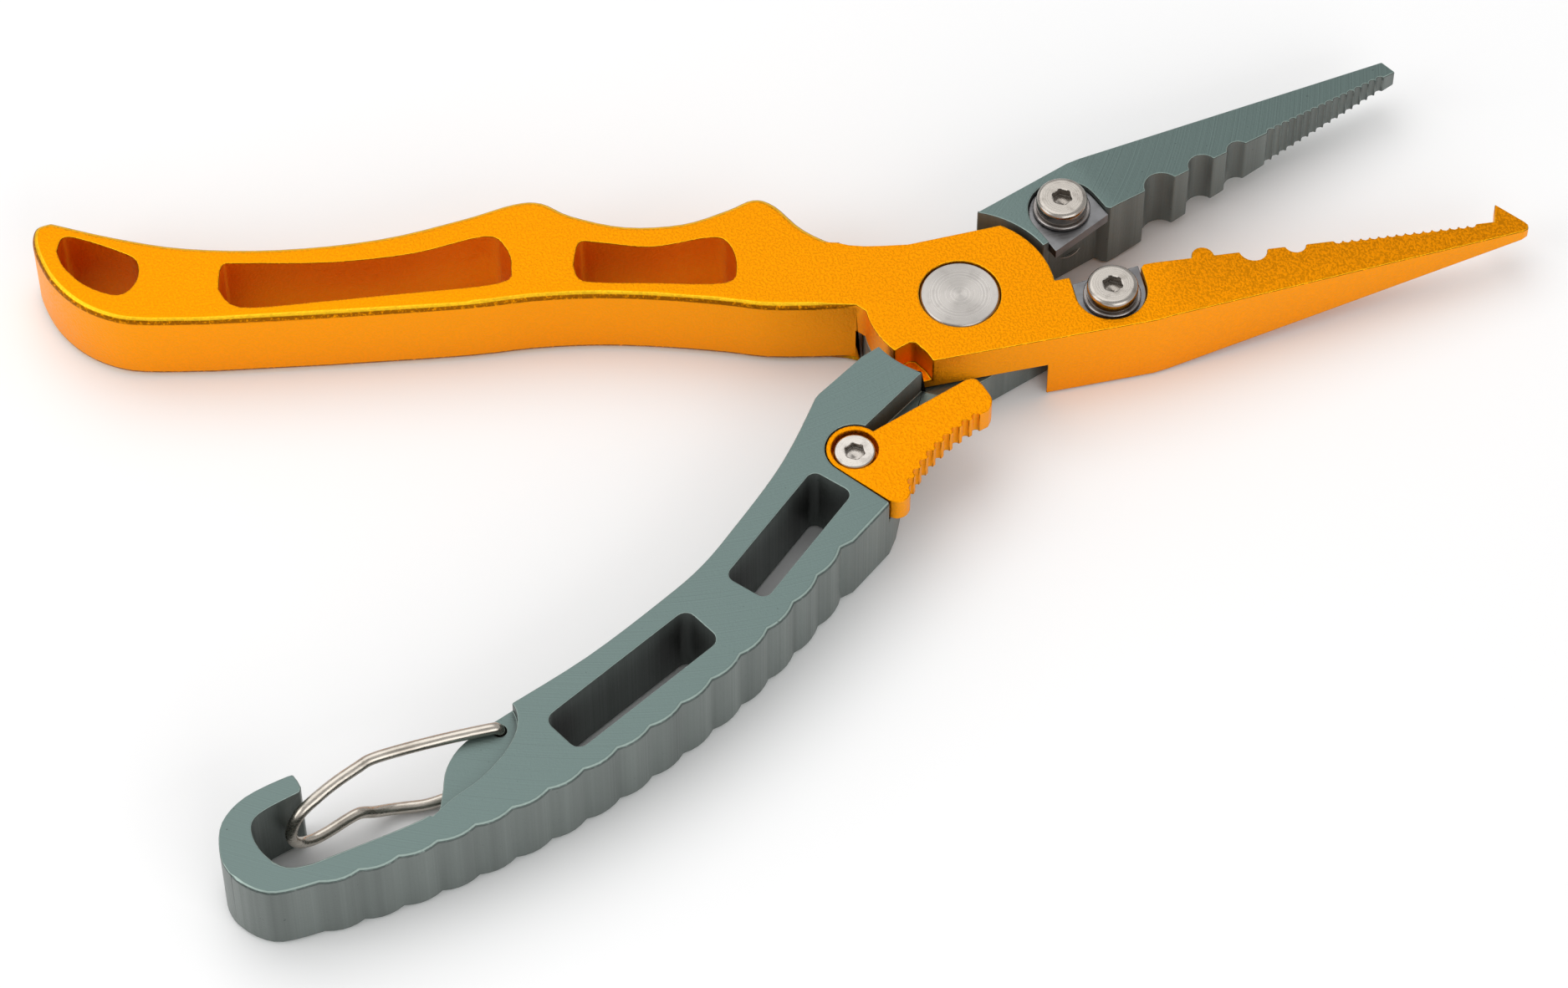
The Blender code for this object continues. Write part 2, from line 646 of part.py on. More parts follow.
def grey_arm(frame):
    """Moving arm: lower lap plate, upper jaw, neck and the handle that ends in the hook."""
    mesh = outline_mesh("grey_arm", moving_arm_outline(), 0.0, THICKNESS)
    arm = add_object("grey_arm", mesh, GREEN_GREY, frame)
    hook_start = -SHOULDER_RADIUS - 11.0
    round_rim(arm, HOOK_HANDLE_ROUND, lambda x, y: x < hook_start and y < -19.0)
    cut(arm, cylinder_cutter("grey_lap_relief", SHOULDER_RADIUS, LOWER_LAP_TOP, THICKNESS + CUT_OVERRUN,
                             frame, sides=96))
    cut(arm, *taper_cutters("grey", frame))
    cut(arm, *cutter_pocket("grey", 1, frame))
    cut(arm, *grey_slots(frame))
    cut(arm, *grey_pivot_cuts(frame))
    cut(arm, *lever_pocket_cuts(frame))
    cut(arm, *gate_cuts(frame))
    smooth_shading(arm)
    return arm


def grey_slots(frame):
    """The two straight slots of the moving handle."""
    high = THICKNESS + CUT_OVERRUN
    near = rounded_box((-33.6, -16.05), 16.6, 5.2, 21.7, 1.0)
    far = rounded_box((-57.6, -22.1), 20.2, 5.3, 9.1, 1.2)
    return (outline_cutter("grey_near_slot", hook_handle(near), -CUT_OVERRUN, high, frame),
            outline_cutter("grey_far_slot", hook_handle(far), -CUT_OVERRUN, high, frame))


def grey_pivot_cuts(frame):
    """Bore, counterbore, spring room, washer recess and the arc slots of the lower lap plate."""
    washer_room = THRUST_WASHER_THICKNESS / 2 + SEAT_GAP
    spring_room = spring_half_height() + SEAT_GAP
    head_top = POST_FLUSH + POST_HEAD_DEPTH + SEAT_GAP
    leg_low = LAP_PLANE - spring_half_height() - SPRING_LEG - SEAT_GAP
    leg_half = SPRING_WIRE / 2 + SEAT_GAP
    leg_clear = math.degrees((leg_half + SEAT_GAP) / SPRING_RADIUS)
    leg_angle = SPRING_LOWER_ANGLE - OPEN_ANGLE
    pin_half = STOP_PIN_RADIUS + SEAT_GAP
    pin_clear = math.degrees(pin_half / STOP_PIN_ORBIT)
    return (
        cylinder_cutter("grey_pivot_bore", POST_RADIUS + RUNNING_GAP, -CUT_OVERRUN, THICKNESS, frame),
        cylinder_cutter("grey_screw_seat", POST_HEAD_RADIUS + RUNNING_GAP, -CUT_OVERRUN, head_top, frame,
                        sides=72),
        ring_outline_cutter("grey_washer_recess", THRUST_WASHER_INNER - SEAT_GAP,
                            THRUST_WASHER_OUTER + SEAT_GAP, LAP_PLANE - washer_room, THICKNESS, frame),
        cylinder_cutter("grey_spring_room", SPRING_RADIUS + SPRING_WIRE / 2 + SEAT_GAP,
                        LAP_PLANE - spring_room, THICKNESS, frame),
        side_ring_slot("grey_spring_leg_slot", SPRING_RADIUS, leg_half, leg_angle - leg_clear,
                       leg_angle + OPEN_ANGLE + CLOSE_MARGIN + leg_clear, leg_low, LAP_PLANE, frame),
        side_ring_slot("grey_stop_slot", STOP_PIN_ORBIT, pin_half, -OPEN_ANGLE - pin_clear,
                       CLOSE_MARGIN + pin_clear, LAP_PLANE - STOP_PIN_ENGAGE - SEAT_GAP, THICKNESS, frame),
    )


def lever_pocket_cuts(frame):
    """Pocket for the thumb lever, its threaded hole and the detent hole."""
    px, py = LEVER_PIVOT
    floor = THICKNESS - LEVER_POCKET_DEPTH
    boss = LEVER_BOSS_RADIUS + 1.5 * SEAT_GAP
    points = ring_arc(boss, 35, 198, 18, LEVER_PIVOT)
    points += [(px - 0.95, py - 7.8), (px - 1.5, py - 12.0), (px + 17.0, py - 12.0), (px + 17.0, py + 5.4),
               (px + 11.85, py + 4.3)]
    head_base = lock_screw_base()
    detent_x, detent_y = detent_place()
    return (
        outline_cutter("grey_lever_pocket", points, floor, THICKNESS + CUT_OVERRUN, frame),
        cylinder_cutter("grey_lock_thread", LOCK_SCREW_RADIUS + RUNNING_GAP,
                        head_base - LOCK_SCREW_LENGTH - SEAT_GAP, THICKNESS, frame, (px, py, 0.0), 32),
        cylinder_cutter("grey_detent_hole", DETENT_BALL_RADIUS + SEAT_GAP, floor - DETENT_HOLE_DEPTH,
                        THICKNESS, frame, (px + detent_x, py + detent_y, 0.0), 20),
    )


def detent_place():
    """Detent position from the lever's pivot."""
    angle = math.radians(DETENT_ANGLE)
    return DETENT_REACH * math.cos(angle), DETENT_REACH * math.sin(angle)


def gate_cuts(frame):
    """Recess on both faces for the gate's legs, and the holes that hold their ends."""
    root_x, root_y = hook_handle([GATE_ROOT])[0]
    arc = smooth([(-69.8, -16.5), (-69.85, -18.5), (-71.2, -20.6), (-73.9, -22.3), (-77.6, -23.5),
                  (-81.0, -23.9), (-84.0, -24.6)], 4)
    points = hook_handle(arc + [(-86.0, -21.5), (-82.0, -15.0)])
    hole = GATE_WIRE / 2 + RUNNING_GAP
    top_floor = THICKNESS - GATE_RECESS_DEPTH
    return (
        outline_cutter("grey_gate_recess_top", points, top_floor, THICKNESS + CUT_OVERRUN, frame),
        outline_cutter("grey_gate_recess_low", points, -CUT_OVERRUN, GATE_RECESS_DEPTH, frame),
        cylinder_cutter("grey_gate_hole_top", hole, top_floor - GATE_LEG_DEPTH, THICKNESS, frame,
                        (root_x, root_y, 0.0), 24),
        cylinder_cutter("grey_gate_hole_low", hole, 0.0, GATE_RECESS_DEPTH + GATE_LEG_DEPTH, frame,
                        (root_x, root_y, 0.0), 24),
    )


# ---------------------------------------------------------------- pivot pieces

def spring_half_height():
    """Half the height of the coil over its outer wires, a little squeezed."""
    return (SPRING_TURNS + 1.0) * SPRING_WIRE / 2 * SPRING_SQUEEZE


def pivot_post():
    """Flush-headed post, bored from below for the pivot screw."""
    top = THICKNESS - POST_FLUSH
    head_low = top - POST_HEAD_DEPTH
    barrel_low = POST_FLUSH + POST_HEAD_DEPTH + SEAT_GAP
    bore = PIVOT_SCREW_RADIUS + RUNNING_GAP
    bore_top = head_low - POST_CAP
    profile = [(0.0, top), (POST_HEAD_RADIUS - POST_CHAMFER, top), (POST_HEAD_RADIUS, top - POST_CHAMFER),
               (POST_HEAD_RADIUS, head_low), (POST_RADIUS, head_low), (POST_RADIUS, barrel_low),
               (bore, barrel_low), (bore, bore_top), (0.0, bore_top)]
    post = turned("pivot_post", profile, STEEL, sides=72)
    smooth_shading(post)
    return post


def pivot_screw():
    """Screw that holds the post from below, with two spanner holes in its head."""
    head_top = POST_FLUSH + POST_HEAD_DEPTH
    shank_top = THICKNESS - POST_FLUSH - POST_HEAD_DEPTH - POST_CAP - 4 * SEAT_GAP
    profile = [(0.0, shank_top), (PIVOT_SCREW_RADIUS, shank_top), (PIVOT_SCREW_RADIUS, head_top),
               (POST_HEAD_RADIUS, head_top), (POST_HEAD_RADIUS, POST_CHAMFER),
               (POST_HEAD_RADIUS - POST_CHAMFER, 0.0), (0.0, 0.0)]
    screw = turned("pivot_screw", profile, STEEL, sides=72)
    for side, label in ((1, "right"), (-1, "left")):
        place = (side * SPANNER_HOLE_SPREAD, 0.0, 0.0)
        cut(screw, cylinder_cutter(f"spanner_hole_{label}", SPANNER_HOLE_RADIUS, -CUT_OVERRUN,
                                   SPANNER_HOLE_DEPTH, None, place, 20))
    smooth_shading(screw)
    return screw


def washer(name, inner, outer, low, high, finish, parent=None, location=(0.0, 0.0, 0.0), sides=36):
    """Flat ring with broken outer edges."""
    edge = (high - low) * 0.2
    profile = [(inner, high), (outer - edge, high), (outer, high - edge), (outer, low + edge),
               (outer - edge, low), (inner, low)]
    ring = turned(name, profile, finish, parent, location, sides)
    smooth_shading(ring)
    return ring


def coil_points(radius, turns, low, high, start_deg, steps_per_turn):
    """Points of a helix that rises from low to high."""
    count = int(turns * steps_per_turn)
    points = []
    for step in range(count + 1):
        share = step / count
        angle = math.radians(start_deg + 360.0 * turns * share)
        points.append((radius * math.cos(angle), radius * math.sin(angle), low + (high - low) * share))
    return points


def return_spring():
    """Torsion spring round the post; one leg in each lap plate."""
    half = spring_half_height() - SPRING_WIRE / 2
    low, high = LAP_PLANE - half, LAP_PLANE + half
    coil = coil_points(SPRING_RADIUS, SPRING_TURNS, low, high, SPRING_LOWER_ANGLE, 20)
    lower, upper = coil[0], coil[-1]
    points = [(lower[0], lower[1], low - SPRING_WIRE / 2 - SPRING_LEG)] + coil
    points += [(upper[0], upper[1], high + SPRING_WIRE / 2 + SPRING_LEG)]
    spring = add_object("return_spring", wire_mesh("return_spring", points, SPRING_WIRE, 2), SPRING_STEEL)
    smooth_shading(spring, 60.0)
    return spring


def stop_pin():
    """Dowel in the upper lap plate that rides in the lower plate's arc slot."""
    low, high = LAP_PLANE - STOP_PIN_ENGAGE, LAP_PLANE + STOP_PIN_ENGAGE
    mesh = cylinder_mesh("open_stop_pin", STOP_PIN_RADIUS, low, high, 24)
    pin = add_object("open_stop_pin", mesh, STEEL, None, (STOP_PIN_ORBIT, 0.0, 0.0))
    smooth_shading(pin)
    return pin


# ---------------------------------------------------------------- cutter sets

def cutter_set(label, side, grip, edge_lead, frame=None):
    """Blade, washer and button-head screw of one jaw."""
    low = THICKNESS - CUTTER_SUNK - CUTTER_THICKNESS
    near, far = CUTTER_CENTRE_X - CUTTER_RADIUS, CUTTER_CENTRE_X + CUTTER_RADIUS
    start = 0 if side > 0 else 180
    points = ring_arc(CUTTER_RADIUS, start, start + 180, 24, (CUTTER_CENTRE_X, side * CUTTER_CENTRE_Y))
    root_edge = grip - edge_lead
    tip_edge = root_edge + CUTTER_EDGE_SLOPE * (far - near)
    edge = [(near, root_edge), (far, tip_edge)]
    points += edge if side > 0 else edge[::-1]
    blade = add_object(f"{label}_cutter", outline_mesh(f"{label}_cutter", points, low, low + CUTTER_THICKNESS),
                       DARK_STEEL, frame)
    place = (CUTTER_CENTRE_X, side * CUTTER_SCREW_Y, 0.0)
    cut(blade, cylinder_cutter(f"{label}_cutter_hole", M3_RADIUS + RUNNING_GAP, 0.0, THICKNESS + CUT_OVERRUN,
                               frame, place, 32))
    smooth_shading(blade)
    washer_low = low + CUTTER_THICKNESS + SEAT_GAP
    washer(f"{label}_cutter_washer", M3_RADIUS + RUNNING_GAP, WASHER_RADIUS, washer_low,
           washer_low + WASHER_THICKNESS, DARK_STEEL, frame, place)
    button_screw(f"{label}_cutter_screw", frame, place)


def button_screw(name, frame, place):
    """Button-head socket screw whose head rests above the washer."""
    base = cutter_screw_base()
    top = base + M3_HEAD_HEIGHT
    dome_end = (M3_HEAD_RADIUS, base + M3_HEAD_EDGE)
    dome = bow((M3_HEAD_FLAT, top), dome_end, M3_HEAD_DOME, 5)
    profile = [(0.0, top)] + dome + [dome_end, (M3_HEAD_RADIUS - SEAT_GAP, base),
                                     (M3_RADIUS, base), (M3_RADIUS, base - M3_LENGTH), (0.0, base - M3_LENGTH)]
    screw = turned(name, profile, STEEL, frame, place)
    cut(screw, hex_cutter(f"{name}_hex", M3_HEX, top - M3_HEX_DEPTH, top + CUT_OVERRUN, frame, place))
    smooth_shading(screw)
    return screw


def hex_cutter(name, across_flats, low, high, frame, place):
    """Six-sided cutter."""
    radius = across_flats / math.sqrt(3.0)
    return cylinder_cutter(name, radius, low, high, frame, place, 6)


# ---------------------------------------------------------------- thumb lock pieces

def lock_screw_base():
    """Height of the underside of the lock screw's head."""
    return THICKNESS - LOCK_SCREW_SUNK - LOCK_SCREW_HEAD_HEIGHT


def lever_floor():
    """Height of the lever's underside."""
    return THICKNESS - LEVER_SUNK - LEVER_THICKNESS


def lock_lever(pivot):
    """Serrated thumb lever, counterbored for its screw, with two detent dimples."""
    low = lever_floor()
    lever = add_object("lock_lever", outline_mesh("lock_lever", lever_outline(), low, THICKNESS - LEVER_SUNK),
                       ORANGE, pivot)
    seat = lock_screw_base() - SPRING_WASHER_THICKNESS - 2 * SEAT_GAP
    bore = LOCK_SCREW_RADIUS + LOCK_BUSH_WALL + 2 * RUNNING_GAP
    cut(lever, cylinder_cutter("lever_bore", bore, 0.0, THICKNESS, pivot, sides=36))
    cut(lever, cylinder_cutter("lever_counterbore", LOCK_SCREW_HEAD_RADIUS + LOCK_SCREW_ROOM, seat,
                               THICKNESS + CUT_OVERRUN, pivot))
    reach_x, reach_y = detent_place()
    for label, turn_deg in (("open", 0.0), ("locked", -LEVER_SWING)):
        turn = math.radians(turn_deg)
        x = reach_x * math.cos(turn) - reach_y * math.sin(turn)
        y = reach_x * math.sin(turn) + reach_y * math.cos(turn)
        dimple = add_object(f"lever_dimple_{label}", ball_mesh(f"lever_dimple_{label}", DETENT_BALL_RADIUS),
                            None, pivot, (x, y, low - DETENT_BALL_RADIUS + DIMPLE_DEPTH))
        cut(lever, dimple)
    smooth_shading(lever)
    return lever


def lock_screw(frame):
    """Cap screw that the lever turns on."""
    base = lock_screw_base()
    top = base + LOCK_SCREW_HEAD_HEIGHT
    profile = [(0.0, top), (LOCK_SCREW_HEAD_RADIUS - LOCK_SCREW_CHAMFER, top),
               (LOCK_SCREW_HEAD_RADIUS, top - LOCK_SCREW_CHAMFER),
               (LOCK_SCREW_HEAD_RADIUS, base), (LOCK_SCREW_RADIUS, base),
               (LOCK_SCREW_RADIUS, base - LOCK_SCREW_LENGTH), (0.0, base - LOCK_SCREW_LENGTH)]
    place = (*LEVER_PIVOT, 0.0)
    screw = turned("lock_screw", profile, STEEL, frame, place)
    cut(screw, hex_cutter("lock_screw_hex", M3_HEX, top - LOCK_SCREW_HEX_DEPTH, top + CUT_OVERRUN, frame,
                          place))
    smooth_shading(screw)
    return screw


def lock_bush(frame):
    """Bearing bush between the lock screw and the lever."""
    inner = LOCK_SCREW_RADIUS + RUNNING_GAP
    high = lock_screw_base() - SPRING_WASHER_THICKNESS - 3 * SEAT_GAP
    low = THICKNESS - LEVER_POCKET_DEPTH + SEAT_GAP
    return washer("lock_bush", inner, inner + LOCK_BUSH_WALL, low, high, BRONZE, frame, (*LEVER_PIVOT, 0.0), 24)


def lock_spring_washer(frame):
    """Spring washer under the lock screw's head."""
    high = lock_screw_base() - SEAT_GAP
    return washer("lock_spring_washer", LOCK_SCREW_RADIUS + RUNNING_GAP, LOCK_SCREW_HEAD_RADIUS,
                  high - SPRING_WASHER_THICKNESS, high, SPRING_STEEL, frame, (*LEVER_PIVOT, 0.0), 24)


def detent(frame):
    """Ball and coil spring that hold the lever at either end of its swing."""
    place_x, place_y = (a + b for a, b in zip(LEVER_PIVOT, detent_place()))
    ball_z = lever_floor() - DETENT_BALL_RADIUS - SEAT_GAP / 2
    ball = add_object("lock_detent_ball", ball_mesh("lock_detent_ball", DETENT_BALL_RADIUS), STEEL, frame,
                      (place_x, place_y, ball_z))
    smooth_shading(ball, 60.0)
    low = THICKNESS - LEVER_POCKET_DEPTH - DETENT_HOLE_DEPTH + SEAT_GAP + DETENT_WIRE / 2
    high = ball_z - DETENT_BALL_RADIUS - SEAT_GAP - DETENT_WIRE / 2
    points = coil_points(DETENT_BALL_RADIUS - DETENT_WIRE, DETENT_TURNS, low, high, 0.0, 10)
    spring = add_object("lock_detent_spring", wire_mesh("lock_detent_spring", points, DETENT_WIRE, 1),
                        SPRING_STEEL, frame, (place_x, place_y, 0.0))
    smooth_shading(spring, 60.0)


# ---------------------------------------------------------------- wire gate

def gate_route():
    """Centre line of the gate from its upper root hole, out to the hook's nose and back below."""
    root_x, root_y = GATE_ROOT
    top = THICKNESS - GATE_RECESS_DEPTH + SEAT_GAP + GATE_WIRE / 2
    leg_end = THICKNESS - GATE_RECESS_DEPTH - GATE_LEG_DEPTH + SEAT_GAP
    mid = THICKNESS / 2
    low = THICKNESS - top
    run_low = mid - GATE_END_SPREAD / 2
    upper = [(root_x, root_y, leg_end), (root_x, root_y, top - 0.9), (root_x - 0.35, root_y + 0.12, top - 0.2),
             (root_x - 1.2, root_y + 0.4, top), (-78.8, -16.6, top), (-84.9, -14.85, top),
             (-87.0, -14.85, top), (-90.0, -15.1, top - 0.05), (-92.6, -15.4, top - 0.45)]
    bend = [(-94.9, -15.6, mid + 2.9), (-96.1, -15.75, mid + 0.5), (-95.6, -15.75, mid - 1.5),
            (-94.0, -15.8, run_low + 0.15)]
    lower = [(-92.0, -15.85, run_low), (-89.4, -15.9, run_low + 0.4), (-87.9, -15.95, run_low + 0.35),
             (-86.4, -16.1, low + 0.95), (-84.9, -16.3, low + 0.3), (-83.2, -16.9, low),
             (-80.2, -18.2, low), (root_x - 1.6, root_y - 0.15, low), (root_x - 0.35, root_y, low + 0.2),
             (root_x, root_y, low + 0.9), (root_x, root_y, THICKNESS - leg_end)]
    return smooth(upper + bend + lower, 3)


def hook_gate(pivot):
    """Sprung wire gate across the mouth of the hook."""
    root_x, root_y = GATE_ROOT
    stretch = (HOOK_HANDLE_REACH - SHOULDER_RADIUS) / (HOOK_HANDLE_DRAWN_AT - SHOULDER_RADIUS)
    points = [((x - root_x) * stretch, y - root_y, z) for x, y, z in gate_route()]
    gate = add_object("hook_gate", wire_mesh("hook_gate", points, GATE_WIRE, 2), SPRING_STEEL, pivot)
    smooth_shading(gate, 60.0)
    return gate


# ---------------------------------------------------------------- assembly

def empty(name, location, parent=None, turn_deg=0.0):
    """Joint frame: an empty on a joint's axis."""
    marker = bpy.data.objects.new(name, None)
    marker.location = [value * MM for value in location]
    marker.rotation_euler = (0.0, 0.0, math.radians(turn_deg))
    marker.parent = parent
    PARTS.objects.link(marker)
    return marker


def build():
    """Makes every piece under its joint frame."""
    moving = empty("moving_arm_frame", (0.0, 0.0, 0.0), None, OPEN_ANGLE)
    lever_pivot = empty("lever_frame", (*LEVER_PIVOT, 0.0), moving)
    gate_pivot = empty("gate_frame", (*hook_handle([GATE_ROOT])[0], 0.0), moving)
    orange_arm()
    grey_arm(moving)
    pivot_post()
    pivot_screw()
    washer("pivot_thrust_washer", THRUST_WASHER_INNER, THRUST_WASHER_OUTER,
           LAP_PLANE - THRUST_WASHER_THICKNESS / 2, LAP_PLANE + THRUST_WASHER_THICKNESS / 2, BRONZE)
    return_spring()
    stop_pin()
    cutter_set("lower", -1, FIXED_GRIP, CUTTER_EDGE_ROOT)
    cutter_set("upper", 1, MOVING_GRIP, 2 * CUTTER_EDGE_ROOT, moving)
    lock_lever(lever_pivot)
    lock_screw(moving)
    lock_bush(moving)
    lock_spring_washer(moving)
    detent(moving)
    hook_gate(gate_pivot)


for leftover in list(bpy.data.objects):
    bpy.data.objects.remove(leftover, do_unlink=True)
PARTS = new_collection("fishing_pliers")
CUTTERS = new_collection("cutters")
build()
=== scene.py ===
"""Looks of the fishing pliers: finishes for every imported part, finer hardware, camera and studio."""

import logging
import math
from dataclasses import dataclass, field
from enum import Enum
from typing import Callable, Iterable

import bpy
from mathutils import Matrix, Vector


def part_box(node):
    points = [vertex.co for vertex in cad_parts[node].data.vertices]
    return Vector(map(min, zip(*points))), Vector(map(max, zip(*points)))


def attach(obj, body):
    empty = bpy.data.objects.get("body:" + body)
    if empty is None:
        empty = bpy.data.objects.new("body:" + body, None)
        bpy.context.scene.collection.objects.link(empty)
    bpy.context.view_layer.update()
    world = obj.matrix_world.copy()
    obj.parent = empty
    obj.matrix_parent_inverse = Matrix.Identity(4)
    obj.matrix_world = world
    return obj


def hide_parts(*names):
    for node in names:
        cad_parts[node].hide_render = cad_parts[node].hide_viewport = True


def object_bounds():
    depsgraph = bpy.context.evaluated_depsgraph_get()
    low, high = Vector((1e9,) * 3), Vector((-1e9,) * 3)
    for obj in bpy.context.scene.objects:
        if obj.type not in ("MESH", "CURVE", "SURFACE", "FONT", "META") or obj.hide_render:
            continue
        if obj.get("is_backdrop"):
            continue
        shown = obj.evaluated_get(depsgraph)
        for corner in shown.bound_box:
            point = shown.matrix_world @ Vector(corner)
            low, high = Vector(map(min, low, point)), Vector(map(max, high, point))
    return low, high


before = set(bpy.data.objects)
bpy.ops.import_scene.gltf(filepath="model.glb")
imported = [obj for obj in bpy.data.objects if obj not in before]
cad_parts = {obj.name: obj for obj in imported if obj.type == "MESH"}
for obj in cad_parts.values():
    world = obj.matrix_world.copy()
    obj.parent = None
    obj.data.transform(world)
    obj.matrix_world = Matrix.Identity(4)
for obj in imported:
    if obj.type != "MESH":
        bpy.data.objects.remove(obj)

LOG = logging.getLogger("fishing_pliers")
MM = 0.001
WELD_DISTANCE = 0.001 * MM
COPLANAR_DEG = 0.4
SHARP_DEG = 50.0
FACING = 0.9  # share of a unit normal along Z that counts as facing up or down
Colour = tuple[float, float, float]


class Body(Enum):
    """Rigid bodies of the pliers."""

    FIXED = "fixed_arm"
    MOVING = "moving_arm"
    LEVER = "lock_lever_body"
    GATE = "gate"


class Pattern(Enum):
    """Marks that a steel piece's making leaves on it."""

    TURNED = "turned"
    GROUND = "ground"
    DRAWN = "drawn"


# ------------------------------------------------------------------ shader helpers

class Graph:
    """A node tree with short calls for adding and joining its nodes."""

    def __init__(self, tree: bpy.types.NodeTree) -> None:
        """Wraps a tree.

        Args:
            tree: node tree of a material or of a group.
        """
        self.tree = tree
        self.column = 0

    def add(self, kind: str, **settings: object) -> bpy.types.Node:
        """Adds a node.

        Args:
            kind: node type name.
            settings: attributes set on the node.

        Returns:
            The new node.
        """
        node = self.tree.nodes.new(kind)
        node.location = (self.column, 0)
        self.column += 180
        for name, value in settings.items():
            setattr(node, name, value)
        return node

    def feed(self, socket: bpy.types.NodeSocket, source: object) -> None:
        """Joins a socket to another, or sets it to a plain value.

        Args:
            socket: input to fill.
            source: output socket, number or tuple.
        """
        if isinstance(source, bpy.types.NodeSocket):
            self.tree.links.new(source, socket)
        else:
            socket.default_value = source

    def maths(self, operation: str, first: object, second: object = 0.5,
              clamp: bool = False) -> bpy.types.NodeSocket:
        """Adds a Math node.

        Args:
            operation: Math node operation.
            first: first input.
            second: second input.
            clamp: keeps the result between 0 and 1.

        Returns:
            Its value socket.
        """
        node = self.add("ShaderNodeMath", operation=operation, use_clamp=clamp)
        self.feed(node.inputs[0], first)
        self.feed(node.inputs[1], second)
        return node.outputs[0]

    def vector(self, operation: str, first: object, second: object = (0.0, 0.0, 0.0)) -> bpy.types.Node:
        """Adds a Vector Math node.

        Args:
            operation: Vector Math operation.
            first: first vector.
            second: second vector.

        Returns:
            The node.
        """
        node = self.add("ShaderNodeVectorMath", operation=operation)
        self.feed(node.inputs[0], first)
        self.feed(node.inputs[1], second)
        return node

    def remap(self, value: object, low: float, high: float, to_low: float = 0.0,
              to_high: float = 1.0) -> bpy.types.NodeSocket:
        """Stretches a value from one range to another, clamped.

        Args:
            value: input socket.
            low: value that becomes to_low.
            high: value that becomes to_high.
            to_low: result at low.
            to_high: result at high.

        Returns:
            The stretched value.
        """
        node = self.add("ShaderNodeMapRange", interpolation_type="SMOOTHSTEP")
        for index, item in enumerate((value, low, high, to_low, to_high)):
            self.feed(node.inputs[index], item)
        return node.outputs[0]

    def times(self, first: object, second: object) -> bpy.types.NodeSocket:
        """Product of two values."""
        return self.maths("MULTIPLY", first, second)

    def mix(self, share: object, first: object, second: object) -> bpy.types.NodeSocket:
        """Mixes two colours.

        Args:
            share: part of the second colour.
            first: first colour.
            second: second colour.

        Returns:
            The mixed colour.
        """
        node = self.add("ShaderNodeMix", data_type="RGBA", blend_type="MIX")
        self.feed(node.inputs[0], share)
        self.feed(node.inputs[6], first)
        self.feed(node.inputs[7], second)
        return node.outputs[2]

    def noise(self, place: object, scale: float, detail: float = 2.0,
              rough: float = 0.5) -> bpy.types.NodeSocket:
        """Adds a noise texture.

        Args:
            place: coordinate vector.
            scale: cells per metre.
            detail: octaves.
            rough: roughness of the octaves.

        Returns:
            The noise value.
        """
        node = self.add("ShaderNodeTexNoise")
        self.feed(node.inputs["Vector"], place)
        node.inputs["Scale"].default_value = scale
        node.inputs["Detail"].default_value = detail
        node.inputs["Roughness"].default_value = rough
        return node.outputs["Fac"]

    def mapped(self, place: object, scale: Colour) -> bpy.types.NodeSocket:
        """Coordinates scaled along each axis.

        Args:
            place: coordinate vector.
            scale: factors along the axes.

        Returns:
            The new coordinates.
        """
        node = self.add("ShaderNodeMapping", vector_type="POINT")
        self.feed(node.inputs["Vector"], place)
        node.inputs["Scale"].default_value = scale
        return node.outputs[0]


def new_group(name: str, inputs: dict[str, object], outputs: Iterable[str]) -> tuple[Graph, dict, dict]:
    """Makes a shader node group.

    Args:
        name: group name.
        inputs: input names with a float or a vector as default.
        outputs: names of the value outputs.

    Returns:
        Its graph, its input sockets and its output sockets, by name.
    """
    tree = bpy.data.node_groups.new(name, "ShaderNodeTree")
    for label, default in inputs.items():
        kind = "NodeSocketVector" if isinstance(default, tuple) else "NodeSocketFloat"
        socket = tree.interface.new_socket(label, in_out="INPUT", socket_type=kind)
        socket.default_value = default
    for label in outputs:
        tree.interface.new_socket(label, in_out="OUTPUT", socket_type="NodeSocketFloat")
    graph = Graph(tree)
    entry = graph.add("NodeGroupInput")
    leave = graph.add("NodeGroupOutput")
    return graph, {s.name: s for s in entry.outputs}, {s.name: s for s in leave.inputs}


def edge_wear_group() -> bpy.types.NodeTree:
    """Mask of outer edges, broken up by a fine noise.

    Returns:
        Group with inputs Width, Break and output Edge.
    """
    graph, given, result = new_group("edge_wear", {"Width": 0.0002, "Break": 0.5}, ["Edge"])
    bevel = graph.add("ShaderNodeBevel", samples=4)
    graph.feed(bevel.inputs["Radius"], given["Width"])
    normal = graph.add("ShaderNodeNewGeometry").outputs["Normal"]
    bend = graph.vector("DOT_PRODUCT", bevel.outputs[0], normal).outputs["Value"]
    edge = graph.remap(bend, 0.985, 0.86)
    place = graph.add("ShaderNodeTexCoord").outputs["Object"]
    rag = graph.remap(graph.noise(place, 1400.0, 3.0), 0.35, 0.65)
    kept = graph.maths("SUBTRACT", 1.0, graph.times(rag, given["Break"]))
    graph.feed(result["Edge"], graph.maths("MULTIPLY", edge, kept, True))
    return graph.tree


def cavity_group() -> bpy.types.NodeTree:
    """Mask of slots and inner corners, where little light comes in.

    Returns:
        Group with input Reach and output Cavity.
    """
    graph, given, result = new_group("cavity", {"Reach": 0.006}, ["Cavity"])
    hollow = graph.add("ShaderNodeAmbientOcclusion", samples=6, only_local=True)
    graph.feed(hollow.inputs["Distance"], given["Reach"])
    graph.feed(result["Cavity"], graph.remap(hollow.outputs["AO"], 0.78, 0.30))
    return graph.tree


